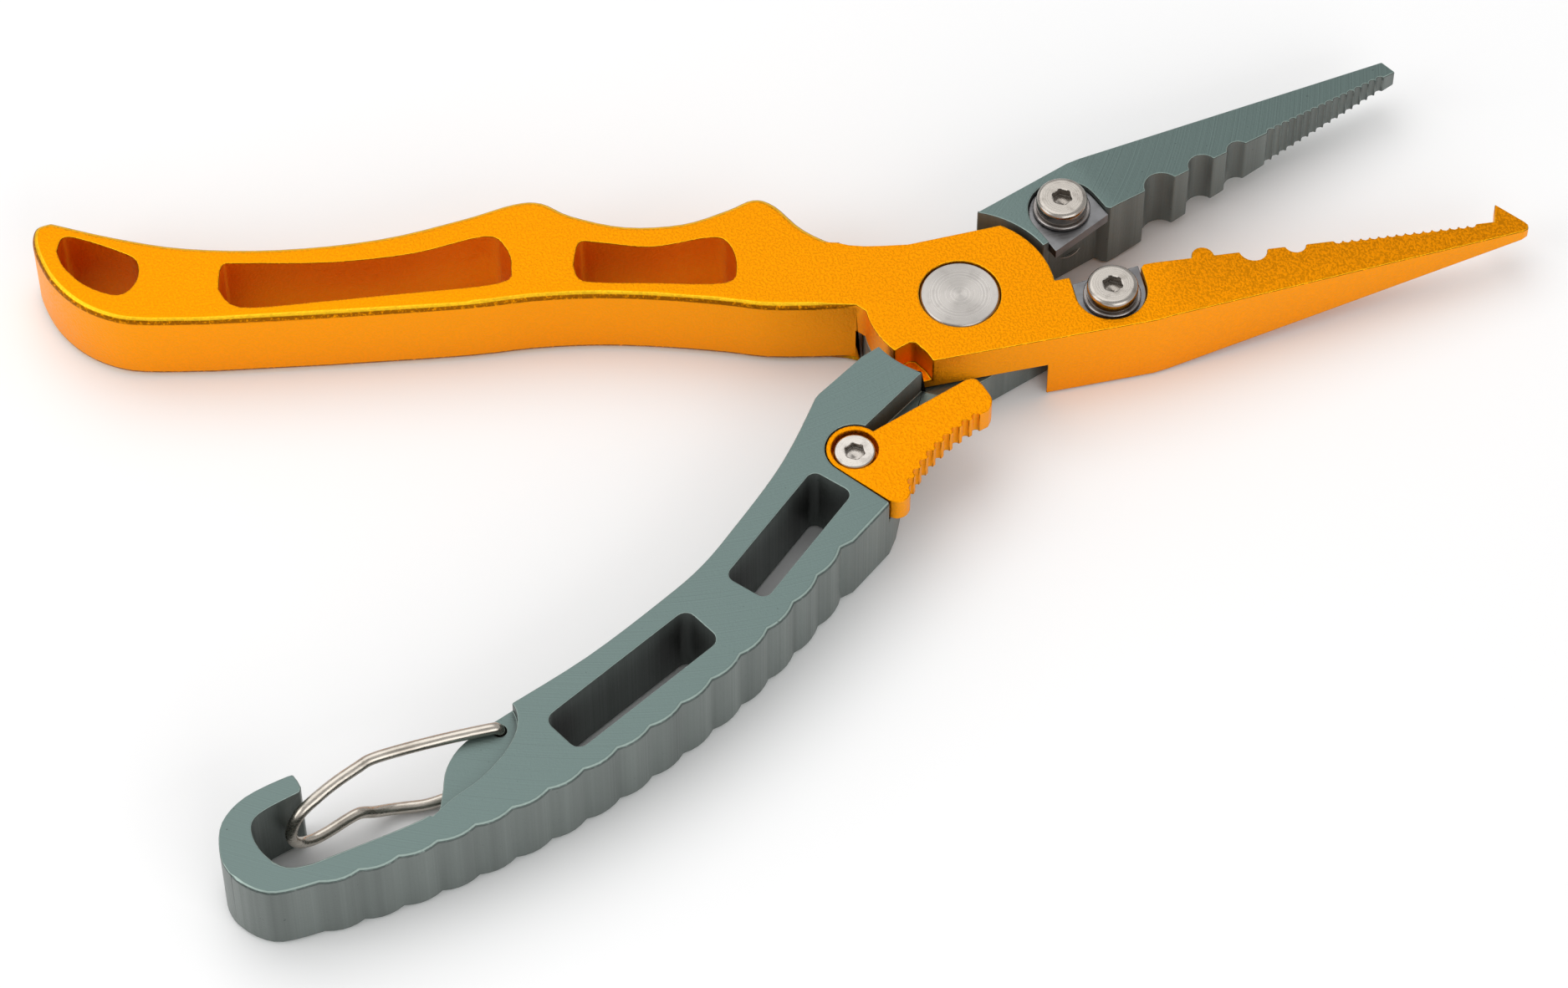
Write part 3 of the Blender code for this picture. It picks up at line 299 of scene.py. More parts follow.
def blasted_grain_group() -> bpy.types.NodeTree:
    """Fine and medium grain of a bead-blasted, anodised skin.

    Returns:
        Group with input Amount and outputs Tone, Height and Speck.
    """
    graph, given, result = new_group("blasted_grain", {"Amount": 1.0}, ["Tone", "Height", "Speck"])
    place = graph.add("ShaderNodeTexCoord").outputs["Object"]
    fine = graph.remap(graph.noise(place, 3400.0, 2.0, 0.6), 0.34, 0.66)
    patch = graph.noise(place, 160.0, 3.0)
    tone = graph.maths("ADD", graph.times(fine, 0.72), graph.times(patch, 0.28))
    tone = graph.times(graph.maths("SUBTRACT", tone, 0.5), given["Amount"])
    speck = graph.remap(graph.noise(place, 2600.0, 1.0), 0.76, 0.80)
    graph.feed(result["Tone"], graph.maths("ADD", tone, 0.5, True))
    graph.feed(result["Height"], fine)
    graph.feed(result["Speck"], speck)
    return graph.tree


def milling_group() -> bpy.types.NodeTree:
    """Arcs of a face mill on flat faces, upright tool bands on walls, and the two halves of a rounded rim,
    masked for a painted highlight on the upper half and a painted dark reflection on the lower half.

    Returns:
        Group with inputs Centre and Pitch and outputs Arcs, Bands, Wall, and the painted highlight and
        painted dark reflection masks.
    """
    graph, given, result = new_group("milling", {"Centre": (0.0, 0.0, 0.0), "Pitch": 6000.0},
                                     ["Arcs", "Bands", "Wall", "PaintedHighlight", "PaintedDarkReflection"])
    place = graph.add("ShaderNodeTexCoord").outputs["Object"]
    flat = graph.vector("MULTIPLY", graph.vector("SUBTRACT", place, given["Centre"]).outputs[0],
                        (1.0, 1.0, 0.0)).outputs[0]
    away = graph.vector("LENGTH", flat).outputs["Value"]
    rings = graph.add("ShaderNodeTexNoise", noise_dimensions="1D")
    graph.feed(rings.inputs["W"], graph.times(away, given["Pitch"]))
    rings.inputs["Scale"].default_value = 1.0
    rings.inputs["Detail"].default_value = 2.0
    bands = graph.noise(graph.mapped(place, (1.0, 1.0, 0.02)), 480.0, 2.0, 0.55)
    normal = graph.add("ShaderNodeNewGeometry").outputs["Normal"]
    upright = graph.add("ShaderNodeSeparateXYZ")
    graph.feed(upright.inputs[0], normal)
    lean = graph.maths("ABSOLUTE", upright.outputs[2], 0.0)
    wall = graph.remap(lean, 0.75, 0.35)
    # painted highlight: upper half of a rounded rim, just below the flat tops
    highlight_mask = graph.times(graph.remap(lean, 0.985, 0.95), graph.remap(lean, 0.66, 0.80))
    # painted dark reflection: lower half of a rounded rim, broken into specks by noise
    under = graph.times(graph.remap(lean, 0.86, 0.70), graph.remap(lean, 0.03, 0.16))
    ragged = graph.remap(graph.noise(place, 2300.0, 3.0, 0.7), 0.28, 0.52)
    graph.feed(result["PaintedHighlight"], highlight_mask)
    graph.feed(result["PaintedDarkReflection"], graph.times(under, ragged))
    graph.feed(result["Arcs"], rings.outputs["Fac"])
    graph.feed(result["Bands"], bands)
    graph.feed(result["Wall"], wall)
    return graph.tree


def turned_group() -> bpy.types.NodeTree:
    """Fine rings round an axis, the faint dirt that sits between them, and a painted sheen in two opposite
    sectors round the axis.

    Returns:
        Group with inputs Centre and Pitch and outputs Rings, Sweep and Dirt.
    """
    graph, given, result = new_group("turned", {"Centre": (0.0, 0.0, 0.0), "Pitch": 9000.0},
                                     ["Rings", "PaintedSheen", "Dirt"])
    place = graph.add("ShaderNodeTexCoord").outputs["Object"]
    local = graph.vector("SUBTRACT", place, given["Centre"]).outputs[0]
    flat = graph.vector("MULTIPLY", local, (1.0, 1.0, 0.0)).outputs[0]
    away = graph.vector("LENGTH", flat).outputs["Value"]
    rings = graph.add("ShaderNodeTexNoise", noise_dimensions="1D")
    graph.feed(rings.inputs["W"], graph.times(away, given["Pitch"]))
    rings.inputs["Scale"].default_value = 1.0
    axes = graph.add("ShaderNodeSeparateXYZ")
    graph.feed(axes.inputs[0], local)
    angle = graph.maths("ARCTAN2", axes.outputs[1], axes.outputs[0])
    # painted sheen: bright in two opposite sectors round the axis
    painted_sheen = graph.maths("COSINE", graph.times(angle, 2.0), 0.0)
    graph.feed(result["Rings"], rings.outputs["Fac"])
    graph.feed(result["PaintedSheen"], graph.remap(painted_sheen, -1.0, 1.0))
    graph.feed(result["Dirt"], graph.remap(graph.noise(place, 700.0, 3.0), 0.50, 0.72))
    return graph.tree


def streak_group() -> bpy.types.NodeTree:
    """Straight fine scratches of a ground or drawn surface.

    Returns:
        Group with inputs Turn and outputs Lines and Stain.
    """
    graph, given, result = new_group("streaks", {"Turn": (0.0, 0.0, 0.0)}, ["Lines", "Stain"])
    place = graph.add("ShaderNodeTexCoord").outputs["Object"]
    turned = graph.add("ShaderNodeMapping")
    graph.feed(turned.inputs["Vector"], place)
    graph.feed(turned.inputs["Rotation"], given["Turn"])
    turned.inputs["Scale"].default_value = (0.06, 1.0, 1.0)
    graph.feed(result["Lines"], graph.noise(turned.outputs[0], 5200.0, 2.0))
    graph.feed(result["Stain"], graph.remap(graph.noise(place, 420.0, 3.0), 0.45, 0.70))
    return graph.tree


class Groups:
    """The shared shader groups, each built once."""

    made: dict[str, bpy.types.NodeTree] = {}
    builders = {"edge_wear": edge_wear_group, "cavity": cavity_group, "blasted_grain": blasted_grain_group,
                "milling": milling_group, "turned": turned_group, "streaks": streak_group}

    @classmethod
    def place(cls, graph: Graph, name: str, **values: object) -> bpy.types.Node:
        """Puts a group into a material with its own values.

        Args:
            graph: graph of the material.
            name: group name.
            values: input values by name.

        Returns:
            The group node.
        """
        if name not in cls.made:
            cls.made[name] = cls.builders[name]()
        node = graph.add("ShaderNodeGroup", node_tree=cls.made[name])
        for label, value in values.items():
            graph.feed(node.inputs[label], value)
        return node


def blank_material(name: str, metallic: float,
                   roughness: float) -> tuple[bpy.types.Material, Graph, bpy.types.Node]:
    """Material with only its shader.

    Args:
        name: material name.
        metallic: metallic value of the whole surface.
        roughness: roughness before any marks.

    Returns:
        The material, its graph and its Principled shader.
    """
    material = bpy.data.materials.new(name)
    material.use_nodes = True
    graph = Graph(material.node_tree)
    shader = material.node_tree.nodes["Principled BSDF"]
    shader.inputs["Metallic"].default_value = metallic
    shader.inputs["Roughness"].default_value = roughness
    return material, graph, shader


def opaque(colour: Colour) -> tuple[float, float, float, float]:
    """Colour with full alpha."""
    return (*colour, 1.0)


def shade(colour: Colour, factor: float) -> tuple[float, float, float, float]:
    """Colour made darker or lighter by a factor, with full alpha."""
    return opaque(tuple(min(value * factor, 1.0) for value in colour))


def add_relief(graph: Graph, shader: bpy.types.Node, height: object, strength: float, depth: float,
               rounding: float) -> None:
    """Feeds a bump, laid over softly rounded edges, to the shader's normal.

    Args:
        graph: graph of the material.
        shader: Principled shader.
        height: height socket.
        strength: bump strength.
        depth: bump distance in metres.
        rounding: radius of the shaded edge rounding in metres.
    """
    bump = graph.add("ShaderNodeBump")
    bump.inputs["Strength"].default_value = strength
    bump.inputs["Distance"].default_value = depth
    graph.feed(bump.inputs["Height"], height)
    if rounding > 0.0:
        soft = graph.add("ShaderNodeBevel", samples=4)
        soft.inputs["Radius"].default_value = rounding
        graph.feed(bump.inputs["Normal"], soft.outputs[0])
    graph.feed(shader.inputs["Normal"], bump.outputs[0])


@dataclass(frozen=True)
class BlastedAnodising:
    """Bead-blasted, dyed and anodised aluminium with smoother worn edges, painted highlights and painted
    dark reflections on its rounded rims, painted shade in its hollows, and painted light and shade that set
    its walls apart from its tops.
    """

    name: str = "blasted_orange"
    # face and wall: a darker copy of the orange for the tops and a lighter one for upright walls, painted
    # shade and painted light by facing
    face: Colour = (0.77, 0.262, 0.001)
    wall: Colour = (1.0, 0.365, 0.0)
    # painted shade colour for slots and inner corners
    hollow_shade: Colour = (0.78, 0.190, 0.001)
    # painted highlight colour, laid on the upper half of rounded rims
    edge: Colour = (1.0, 0.60, 0.02)
    # painted dark reflection colour, laid on the lower half of rounded rims
    rim: Colour = (0.22, 0.065, 0.002)
    grain: float = 2.3
    grain_on_faces: float = 0.55
    grain_on_walls: float = 0.14
    # share of the painted shade in hollows
    hollow_shade_share: float = 0.5
    # shares of the painted dark reflection and the painted highlight
    dark_reflection_share: float = 0.85
    highlight_share: float = 0.8
    rough: float = 0.42
    metallic: float = 1.0
    rounding: float = 0.22 * MM
    relief: float = 0.42
    relief_depth: float = 0.04 * MM

    def build(self) -> bpy.types.Material:
        """Makes the material.

        Returns:
            The finished material.
        """
        material, graph, shader = blank_material(self.name, self.metallic, self.rough)
        grain = Groups.place(graph, "blasted_grain", Amount=self.grain)
        cut = Groups.place(graph, "milling", Centre=(0.02, 0.06, 0.0), Pitch=5200.0)
        wear = Groups.place(graph, "edge_wear", Width=0.22 * MM, Break=0.7)
        cavity = Groups.place(graph, "cavity", Reach=5.0 * MM)
        # painted light and shade: tops take the darker face colour, upright walls the lighter wall colour
        skin = graph.mix(cut.outputs["Wall"], opaque(self.face), opaque(self.wall))
        speckled = graph.mix(grain.outputs["Tone"], shade(self.face, 0.70), shade(self.face, 1.22))
        grain_share = graph.remap(cut.outputs["Wall"], 0.0, 1.0, self.grain_on_faces, self.grain_on_walls)
        skin = graph.mix(grain_share, skin, speckled)
        # painted shade: slots and inner corners darkened towards a deep orange-red
        skin = graph.mix(graph.times(cavity.outputs["Cavity"], self.hollow_shade_share), skin, opaque(self.hollow_shade))
        # painted dark reflection: a dark speckled band on the lower half of rounded rims
        skin = graph.mix(graph.times(cut.outputs["PaintedDarkReflection"], self.dark_reflection_share), skin, opaque(self.rim))
        # painted highlight: a bright yellow line on the upper half of rounded rims
        skin = graph.mix(graph.times(cut.outputs["PaintedHighlight"], self.highlight_share), skin, opaque(self.edge))
        graph.feed(shader.inputs["Base Color"], skin)
        rough = graph.remap(grain.outputs["Tone"], 0.2, 0.8, self.rough - 0.06, self.rough + 0.06)
        rough = graph.maths("SUBTRACT", rough, graph.times(wear.outputs["Edge"], 0.10))
        graph.feed(shader.inputs["Roughness"], rough)
        on_wall = graph.times(graph.times(cut.outputs["Bands"], 0.6), cut.outputs["Wall"])
        height = graph.maths("ADD", grain.outputs["Height"], on_wall)
        add_relief(graph, shader, height, self.relief, self.relief_depth, self.rounding)
        return material


@dataclass(frozen=True)
class MilledAnodising:
    """Anodised aluminium that still shows its milling, with bare metal on its working edges, painted
    highlights and painted dark reflections on its rounded rims, and painted shade in its hollows.
    """

    name: str = "milled_green_grey"
    face: Colour = (0.126, 0.176, 0.165)
    wall: Colour = (0.150, 0.172, 0.162)
    # painted shade colour for slots and inner corners, nearly black
    hollow_shade: Colour = (0.034, 0.029, 0.029)
    # colour of bare metal on worn edges, also laid as a painted highlight on the upper half of rounded rims
    edge: Colour = (0.36, 0.45, 0.41)
    # painted dark reflection colour on the lower half of rounded rims
    rim: Colour = (0.045, 0.060, 0.055)
    speck: Colour = (0.03, 0.035, 0.035)
    centre: Colour = (-0.030, 0.045, 0.0)
    # share of the painted shade in hollows
    hollow_shade_share: float = 0.92
    worn_share: float = 0.5
    # shares of the painted dark reflection and the painted highlight
    dark_reflection_share: float = 0.75
    highlight_share: float = 0.8
    speck_share: float = 0.55
    rough: float = 0.40
    metallic: float = 0.62
    rounding: float = 0.18 * MM
    relief: float = 0.32
    relief_depth: float = 0.04 * MM

    def build(self) -> bpy.types.Material:
        """Makes the material.

        Returns:
            The finished material.
        """
        material, graph, shader = blank_material(self.name, self.metallic, self.rough)
        grain = Groups.place(graph, "blasted_grain", Amount=1.0)
        cut = Groups.place(graph, "milling", Centre=self.centre, Pitch=6400.0)
        wear = Groups.place(graph, "edge_wear", Width=0.2 * MM, Break=0.6)
        cavity = Groups.place(graph, "cavity", Reach=6.5 * MM)
        flat = graph.mix(cut.outputs["Arcs"], shade(self.face, 0.74), shade(self.face, 1.26))
        upright = graph.mix(cut.outputs["Bands"], shade(self.wall, 0.60), shade(self.wall, 1.38))
        skin = graph.mix(cut.outputs["Wall"], flat, upright)
        # painted shade: slots and inner corners darkened nearly to black
        skin = graph.mix(graph.times(cavity.outputs["Cavity"], self.hollow_shade_share), skin, opaque(self.hollow_shade))
        skin = graph.mix(graph.times(wear.outputs["Edge"], self.worn_share), skin, opaque(self.edge))
        # painted dark reflection: a dark speckled band on the lower half of rounded rims
        skin = graph.mix(graph.times(cut.outputs["PaintedDarkReflection"], self.dark_reflection_share), skin, opaque(self.rim))
        # painted highlight: a bright line on the upper half of rounded rims
        skin = graph.mix(graph.times(cut.outputs["PaintedHighlight"], self.highlight_share), skin, opaque(self.edge))
        skin = graph.mix(graph.times(grain.outputs["Speck"], self.speck_share), skin, opaque(self.speck))
        graph.feed(shader.inputs["Base Color"], skin)
        rough = graph.remap(cut.outputs["Arcs"], 0.3, 0.7, self.rough - 0.05, self.rough + 0.07)
        graph.feed(shader.inputs["Roughness"], rough)
        arcs = graph.times(cut.outputs["Arcs"], graph.maths("SUBTRACT", 1.0, cut.outputs["Wall"]))
        bands = graph.times(cut.outputs["Bands"], cut.outputs["Wall"])
        height = graph.maths("ADD", graph.times(arcs, 0.8), bands)
        height = graph.maths("ADD", height, graph.times(grain.outputs["Height"], 0.5))
        add_relief(graph, shader, height, self.relief, self.relief_depth, self.rounding)
        return material


@dataclass(frozen=True)
class Steel:
    """Steel or bronze with the marks of its making, painted shade in its hollows and an optional painted
    sheen.
    """

    name: str
    colour: Colour
    # stain: colour of real stains, also painted as shade into hollows
    stain: Colour
    pattern: Pattern = Pattern.TURNED
    rough: float = 0.26
    centre: Colour = (0.0, 0.0, 0.0)
    pitch: float = 9000.0
    turn_deg: float = 0.0
    rounding: float = 0.1 * MM
    relief: float = 0.18
    relief_depth: float = 0.02 * MM
    # share of a painted sheen over the colour
    sheen: float = 0.0

    def build(self) -> bpy.types.Material:
        """Makes the material.

        Returns:
            The finished material.
        """
        material, graph, shader = blank_material(self.name, 1.0, self.rough)
        wear = Groups.place(graph, "edge_wear", Width=0.12 * MM, Break=0.4)
        cavity = Groups.place(graph, "cavity", Reach=1.5 * MM)
        if self.pattern is Pattern.TURNED:
            marks = Groups.place(graph, "turned", Centre=self.centre, Pitch=self.pitch)
            lines, stain = marks.outputs["Rings"], marks.outputs["Dirt"]
            stain = graph.times(stain, 1.0 - self.sheen)
            # painted sheen from the turned sectors
            painted_sheen = graph.times(marks.outputs["PaintedSheen"], self.sheen)
        else:
            turn = (0.0, 0.0, math.radians(self.turn_deg))
            marks = Groups.place(graph, "streaks", Turn=turn)
            lines, stain = marks.outputs["Lines"], marks.outputs["Stain"]
            # painted sheen laid over the stain pattern
            painted_sheen = graph.times(marks.outputs["Stain"], self.sheen)
        skin = graph.mix(lines, shade(self.colour, 0.84), shade(self.colour, 1.14))
        # painted sheen: a lighter copy of the colour where the sheen mask is
        skin = graph.mix(painted_sheen, skin, shade(self.colour, 1.7))
        skin = graph.mix(graph.times(stain, 0.35), skin, opaque(self.stain))
        # painted shade: hollows and inner corners darkened with the stain colour
        skin = graph.mix(graph.times(cavity.outputs["Cavity"], 0.75), skin, opaque(self.stain))
        worn = tuple(min(value * 1.5 + 0.05, 1.0) for value in self.colour)
        skin = graph.mix(graph.times(wear.outputs["Edge"], 0.6), skin, opaque(worn))
        graph.feed(shader.inputs["Base Color"], skin)
        graph.feed(shader.inputs["Roughness"],
                   graph.remap(lines, 0.3, 0.7, self.rough - 0.06, self.rough + 0.10))
        add_relief(graph, shader, lines, self.relief, self.relief_depth, self.rounding)
        return material


Finish = BlastedAnodising | MilledAnodising | Steel

# colour and stain pairs; each stain colour is also painted as shade into hollows
BRONZE = ((0.42, 0.25, 0.10), (0.10, 0.06, 0.03))
SPRING_WIRE = ((0.46, 0.43, 0.39), (0.12, 0.10, 0.08))


# ------------------------------------------------------------------ modelling helpers

def deselect_all() -> None:
    """Leaves edit mode and clears the selection."""
    if bpy.context.object and bpy.context.object.mode != "OBJECT":
        bpy.ops.object.mode_set(mode="OBJECT")
    bpy.ops.object.select_all(action="DESELECT")


def make_active(thing: bpy.types.Object) -> None:
    """Selects one object alone.

    Args:
        thing: object to work on next.
    """
    deselect_all()
    thing.select_set(True)
    bpy.context.view_layer.objects.active = thing


def apply_modifier(thing: bpy.types.Object, kind: str, **settings: object) -> None:
    """Adds a modifier and applies it.

    Args:
        thing: object to change.
        kind: modifier type.
        settings: attributes set on the modifier.
    """
    make_active(thing)
    modifier = thing.modifiers.new(kind.lower(), kind)
    for name, value in settings.items():
        setattr(modifier, name, value)
    bpy.ops.object.modifier_apply(modifier=modifier.name)


def select_faces(thing: bpy.types.Object, wanted: Callable[[Vector, Vector], bool]) -> None:
    """Selects the faces of the active edit mesh that wanted(centre, normal) accepts.

    Args:
        thing: object in edit mode.
        wanted: test of a face's centre and normal.
    """
    bpy.ops.object.mode_set(mode="OBJECT")
    for part in (thing.data.vertices, thing.data.edges, thing.data.polygons):
        for item in part:
            item.select = False
    for face in thing.data.polygons:
        face.select = bool(wanted(face.center, face.normal))
    bpy.ops.object.mode_set(mode="EDIT")


def settle(thing: bpy.types.Object, smooth_deg: float) -> None:
    """Applies an object's place, turn and scale, and shades it smooth up to an angle.

    Args:
        thing: finished object.
        smooth_deg: sharpest angle that is still shaded smooth.
    """
    make_active(thing)
    bpy.ops.object.transform_apply(location=True, rotation=True, scale=True)
    bpy.ops.object.shade_smooth_by_angle(angle=math.radians(smooth_deg))
    apply_modifier(thing, "WEIGHTED_NORMAL", mode="FACE_AREA", weight=80, keep_sharp=True)


def dress(thing: bpy.types.Object, material: bpy.types.Material) -> None:
    """Gives an object one material in its own slot.

    Args:
        thing: object to dress.
        material: its finish.
    """
    if not thing.material_slots:
        thing.data.materials.append(material)
    for place in thing.material_slots:
        place.link = "OBJECT"
        place.material = material


def welded_copy(node: str, name: str) -> bpy.types.Object:
    """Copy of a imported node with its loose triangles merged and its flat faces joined.

    Args:
        node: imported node.
        name: name of the copy.

    Returns:
        The copy.
    """
    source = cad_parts[node]
    piece = bpy.data.objects.new(name, source.data.copy())
    bpy.context.scene.collection.objects.link(piece)
    piece.data.materials.clear()
    make_active(piece)
    if piece.data.has_custom_normals:
        bpy.ops.mesh.customdata_custom_splitnormals_clear()
    bpy.ops.object.mode_set(mode="EDIT")
    bpy.ops.mesh.select_all(action="SELECT")
    bpy.ops.mesh.remove_doubles(threshold=WELD_DISTANCE)
    bpy.ops.mesh.normals_make_consistent(inside=False)
    bpy.ops.mesh.dissolve_limited(angle_limit=math.radians(COPLANAR_DEG))
    bpy.ops.object.mode_set(mode="OBJECT")
    return piece


@dataclass
class Piece:
    """A visible piece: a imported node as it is, or a finer one that stands for it."""

    thing: bpy.types.Object
    body: Body
    slot: str = ""
    stands_for: tuple[str, ...] = ()

    def install(self) -> None:
        """Puts a piece that stands for imported nodes on its body and hides those nodes; logs every piece.
        """
        if self.stands_for:
            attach(self.thing, self.body.value)
            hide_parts(*self.stands_for)
        LOG.info("piece %s on %s", self.thing.name, self.body.value)


def middle_of(node: str) -> Colour:
    """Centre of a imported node's box."""
    low, high = (Vector(corner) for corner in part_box(node))
    return tuple((low + high) / 2)


def keep_nodes(finishes: dict[str, Steel], body: Body) -> list[Piece]:
    """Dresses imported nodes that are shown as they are.

    Args:
        finishes: finish of each node.
        body: body the nodes ride on.

    Returns:
        The dressed nodes.
    """
    kept = []
    for node, finish in finishes.items():
        dress(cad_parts[node], finish.build())
        kept.append(Piece(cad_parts[node], body))
    return kept


# ------------------------------------------------------------------ sub-assemblies

@dataclass
class Arms:
    """The two milled arms, with every sharp edge broken by a fine chamfer."""

    chamfer: float = 0.16 * MM
    segments: int = 2
    orange: BlastedAnodising = field(default_factory=BlastedAnodising)
    grey: MilledAnodising = field(default_factory=MilledAnodising)

    def arm(self, node: str, name: str) -> bpy.types.Object:
        """Welded copy of an arm with its edges broken.

        Args:
            node: packed arm.
            name: name of the finer arm.

        Returns:
            The finer arm.
        """
        piece = welded_copy(node, name)
        apply_modifier(piece, "BEVEL", width=self.chamfer, segments=self.segments, limit_method="ANGLE",
                       angle_limit=math.radians(SHARP_DEG), use_clamp_overlap=False, loop_slide=True)
        settle(piece, 40)
        return piece

    def build(self) -> list[Piece]:
        """Makes both arms.

        Returns:
            The two pieces.
        """
        orange = self.arm("orange_arm", "fixed_arm_body")
        dress(orange, self.orange.build())
        grey = self.arm("grey_arm", "moving_arm_body")
        dress(grey, self.grey.build())
        return [Piece(orange, Body.FIXED, "orange_anodised", ("orange_arm",)),
                Piece(grey, Body.MOVING, "green_grey_anodised", ("grey_arm",))]


@dataclass
class SocketScrew:
    """Cap screw with a hexagon socket, turned head and chamfered socket mouth."""

    node: str
    body: Body
    across_flats: float = 2.0 * MM
    socket_depth: float = 1.0 * MM
    head_height: float = 1.65 * MM
    shank_radius: float = 1.5 * MM
    dome: float = 0.55 * MM
    dome_segments: int = 6
    rim_break: float = 0.08 * MM
    point: float = 0.2 * MM
    point_share: float = 0.88
    head_sides: int = 64
    colour: Colour = (0.40, 0.37, 0.335)
    # stain colour, also painted as shade into the socket and other hollows
    stain: Colour = (0.12, 0.10, 0.085)

    def build(self) -> Piece:
        """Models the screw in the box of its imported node.

        Returns:
            The screw, dressed.
        """
        low, high = (Vector(corner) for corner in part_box(self.node))
        middle = (low + high) / 2
        radius = (high.x - low.x) / 2
        base = high.z - self.head_height
        deselect_all()
        bpy.ops.mesh.primitive_cylinder_add(vertices=self.head_sides, radius=radius, depth=self.head_height,
                                            location=(middle.x, middle.y, base + self.head_height / 2))
        screw = bpy.context.object
        screw.name = f"{self.node}_fine"
        settle(screw, 30)
        self.shape_head(screw, high.z, base)
        self.draw_shank(screw, base, low.z, middle, radius)
        self.cut_socket(screw, middle, high.z)
        settle(screw, 38)
        finish = Steel(f"{self.node}_steel", self.colour, self.stain, Pattern.TURNED, 0.22,
                       tuple(middle), 8000.0)
        dress(screw, finish.build())
        return Piece(screw, self.body, "brushed_steel", (self.node,))

    def shape_head(self, screw: bpy.types.Object, top: float, base: float) -> None:
        """Rounds the head's upper rim and breaks its lower one.

        Args:
            screw: head blank.
            top: height of the head's top; not used.
            base: height of its underside; not used.
        """
        make_active(screw)
        bpy.ops.object.mode_set(mode="EDIT")
        select_faces(screw, lambda centre, normal: normal.z > FACING)
        bpy.ops.mesh.region_to_loop()
        bpy.ops.mesh.bevel(offset=self.dome, segments=self.dome_segments, profile=0.5, affect="EDGES")
        select_faces(screw, lambda centre, normal: normal.z < -FACING)
        bpy.ops.mesh.region_to_loop()
        bpy.ops.mesh.bevel(offset=self.rim_break, segments=2, profile=0.5, affect="EDGES")
        bpy.ops.object.mode_set(mode="OBJECT")

    def draw_shank(self, screw: bpy.types.Object, base: float, low: float, middle: Vector,
                   radius: float) -> None:
        """Draws the shank out of the head's underside.

        Args:
            screw: head.
            base: height of the head's underside.
            low: height of the shank's end.
            middle: centre of the screw.
            radius: head radius.
        """
        make_active(screw)
        bpy.ops.object.mode_set(mode="EDIT")
        select_faces(screw, lambda centre, normal: normal.z < -FACING)
        bpy.ops.mesh.inset(thickness=radius - self.rim_break - self.shank_radius)
        for drop in (low - base + self.point, -self.point):
            bpy.ops.mesh.extrude_region_move(TRANSFORM_OT_translate={"value": (0.0, 0.0, drop)})
        bpy.ops.transform.resize(value=(self.point_share, self.point_share, 1.0),
                                 center_override=(middle.x, middle.y, low))
        bpy.ops.object.mode_set(mode="OBJECT")

    def cut_socket(self, screw: bpy.types.Object, middle: Vector, top: float) -> None:
        """Cuts the hexagon socket, with a flared mouth and a drilled bottom.

        Args:
            screw: head and shank.
            middle: centre of the screw.
            top: height of the head's top.
        """
        corner = self.across_flats / math.sqrt(3.0)
        floor = top - self.socket_depth
        tools = (("hexagon", 6, corner, corner, floor, top + 0.5 * MM),
                 ("mouth", 48, corner * 0.90, corner * 1.06, top - 0.07 * MM, top + 0.01 * MM),
                 ("drill", 32, 0.12 * MM, corner * 0.60, floor - 0.20 * MM, floor + 0.02 * MM))
        for label, sides, below, above, low, high in tools:
            deselect_all()
            bpy.ops.mesh.primitive_cone_add(vertices=sides, radius1=below, radius2=above, depth=high - low,
                                            location=(middle.x, middle.y, (low + high) / 2))
            tool = bpy.context.object
            tool.name = f"{label}_tool"
            apply_modifier(screw, "BOOLEAN", operation="DIFFERENCE", solver="EXACT", object=tool)
            bpy.data.objects.remove(tool, do_unlink=True)


@dataclass
class BrokenEdgePart:
    """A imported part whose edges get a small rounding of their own."""

    node: str
    body: Body
    slot: str
    finish: Finish
    rounding: float = 0.08 * MM
    segments: int = 2
    smooth_deg: float = 35.0

    def build(self) -> Piece:
        """Copies the part, rounds its edges and dresses it.

        Returns:
            The finer part.
        """
        piece = welded_copy(self.node, f"{self.node}_fine")
        apply_modifier(piece, "BEVEL", width=self.rounding, segments=self.segments, limit_method="ANGLE",
                       angle_limit=math.radians(SHARP_DEG), use_clamp_overlap=True)
        settle(piece, self.smooth_deg)
        dress(piece, self.finish.build())
        return Piece(piece, self.body, self.slot, (self.node,))


@dataclass
class CutterSet:
    """Blade, washer and button screw of one jaw."""

    label: str
    body: Body
    turn_deg: float = 0.0

    def build(self) -> list[Piece]:
        """Makes the three pieces.

        Returns:
            The pieces of the set.
        """
        centre = middle_of(f"{self.label}_cutter_screw")
        slot = "dark_tool_steel"
        blade = Steel(f"{self.label}_blade", (0.20, 0.20, 0.205), (0.05, 0.045, 0.045), Pattern.GROUND, 0.34,
                      turn_deg=self.turn_deg)
        ring = Steel(f"{self.label}_washer", (0.27, 0.25, 0.24), (0.07, 0.06, 0.055), Pattern.TURNED, 0.30,
                     centre)
        return [BrokenEdgePart(f"{self.label}_cutter", self.body, slot, blade, 0.1 * MM).build(),
                BrokenEdgePart(f"{self.label}_cutter_washer", self.body, slot, ring, 0.06 * MM).build(),
                SocketScrew(f"{self.label}_cutter_screw", self.body).build()]


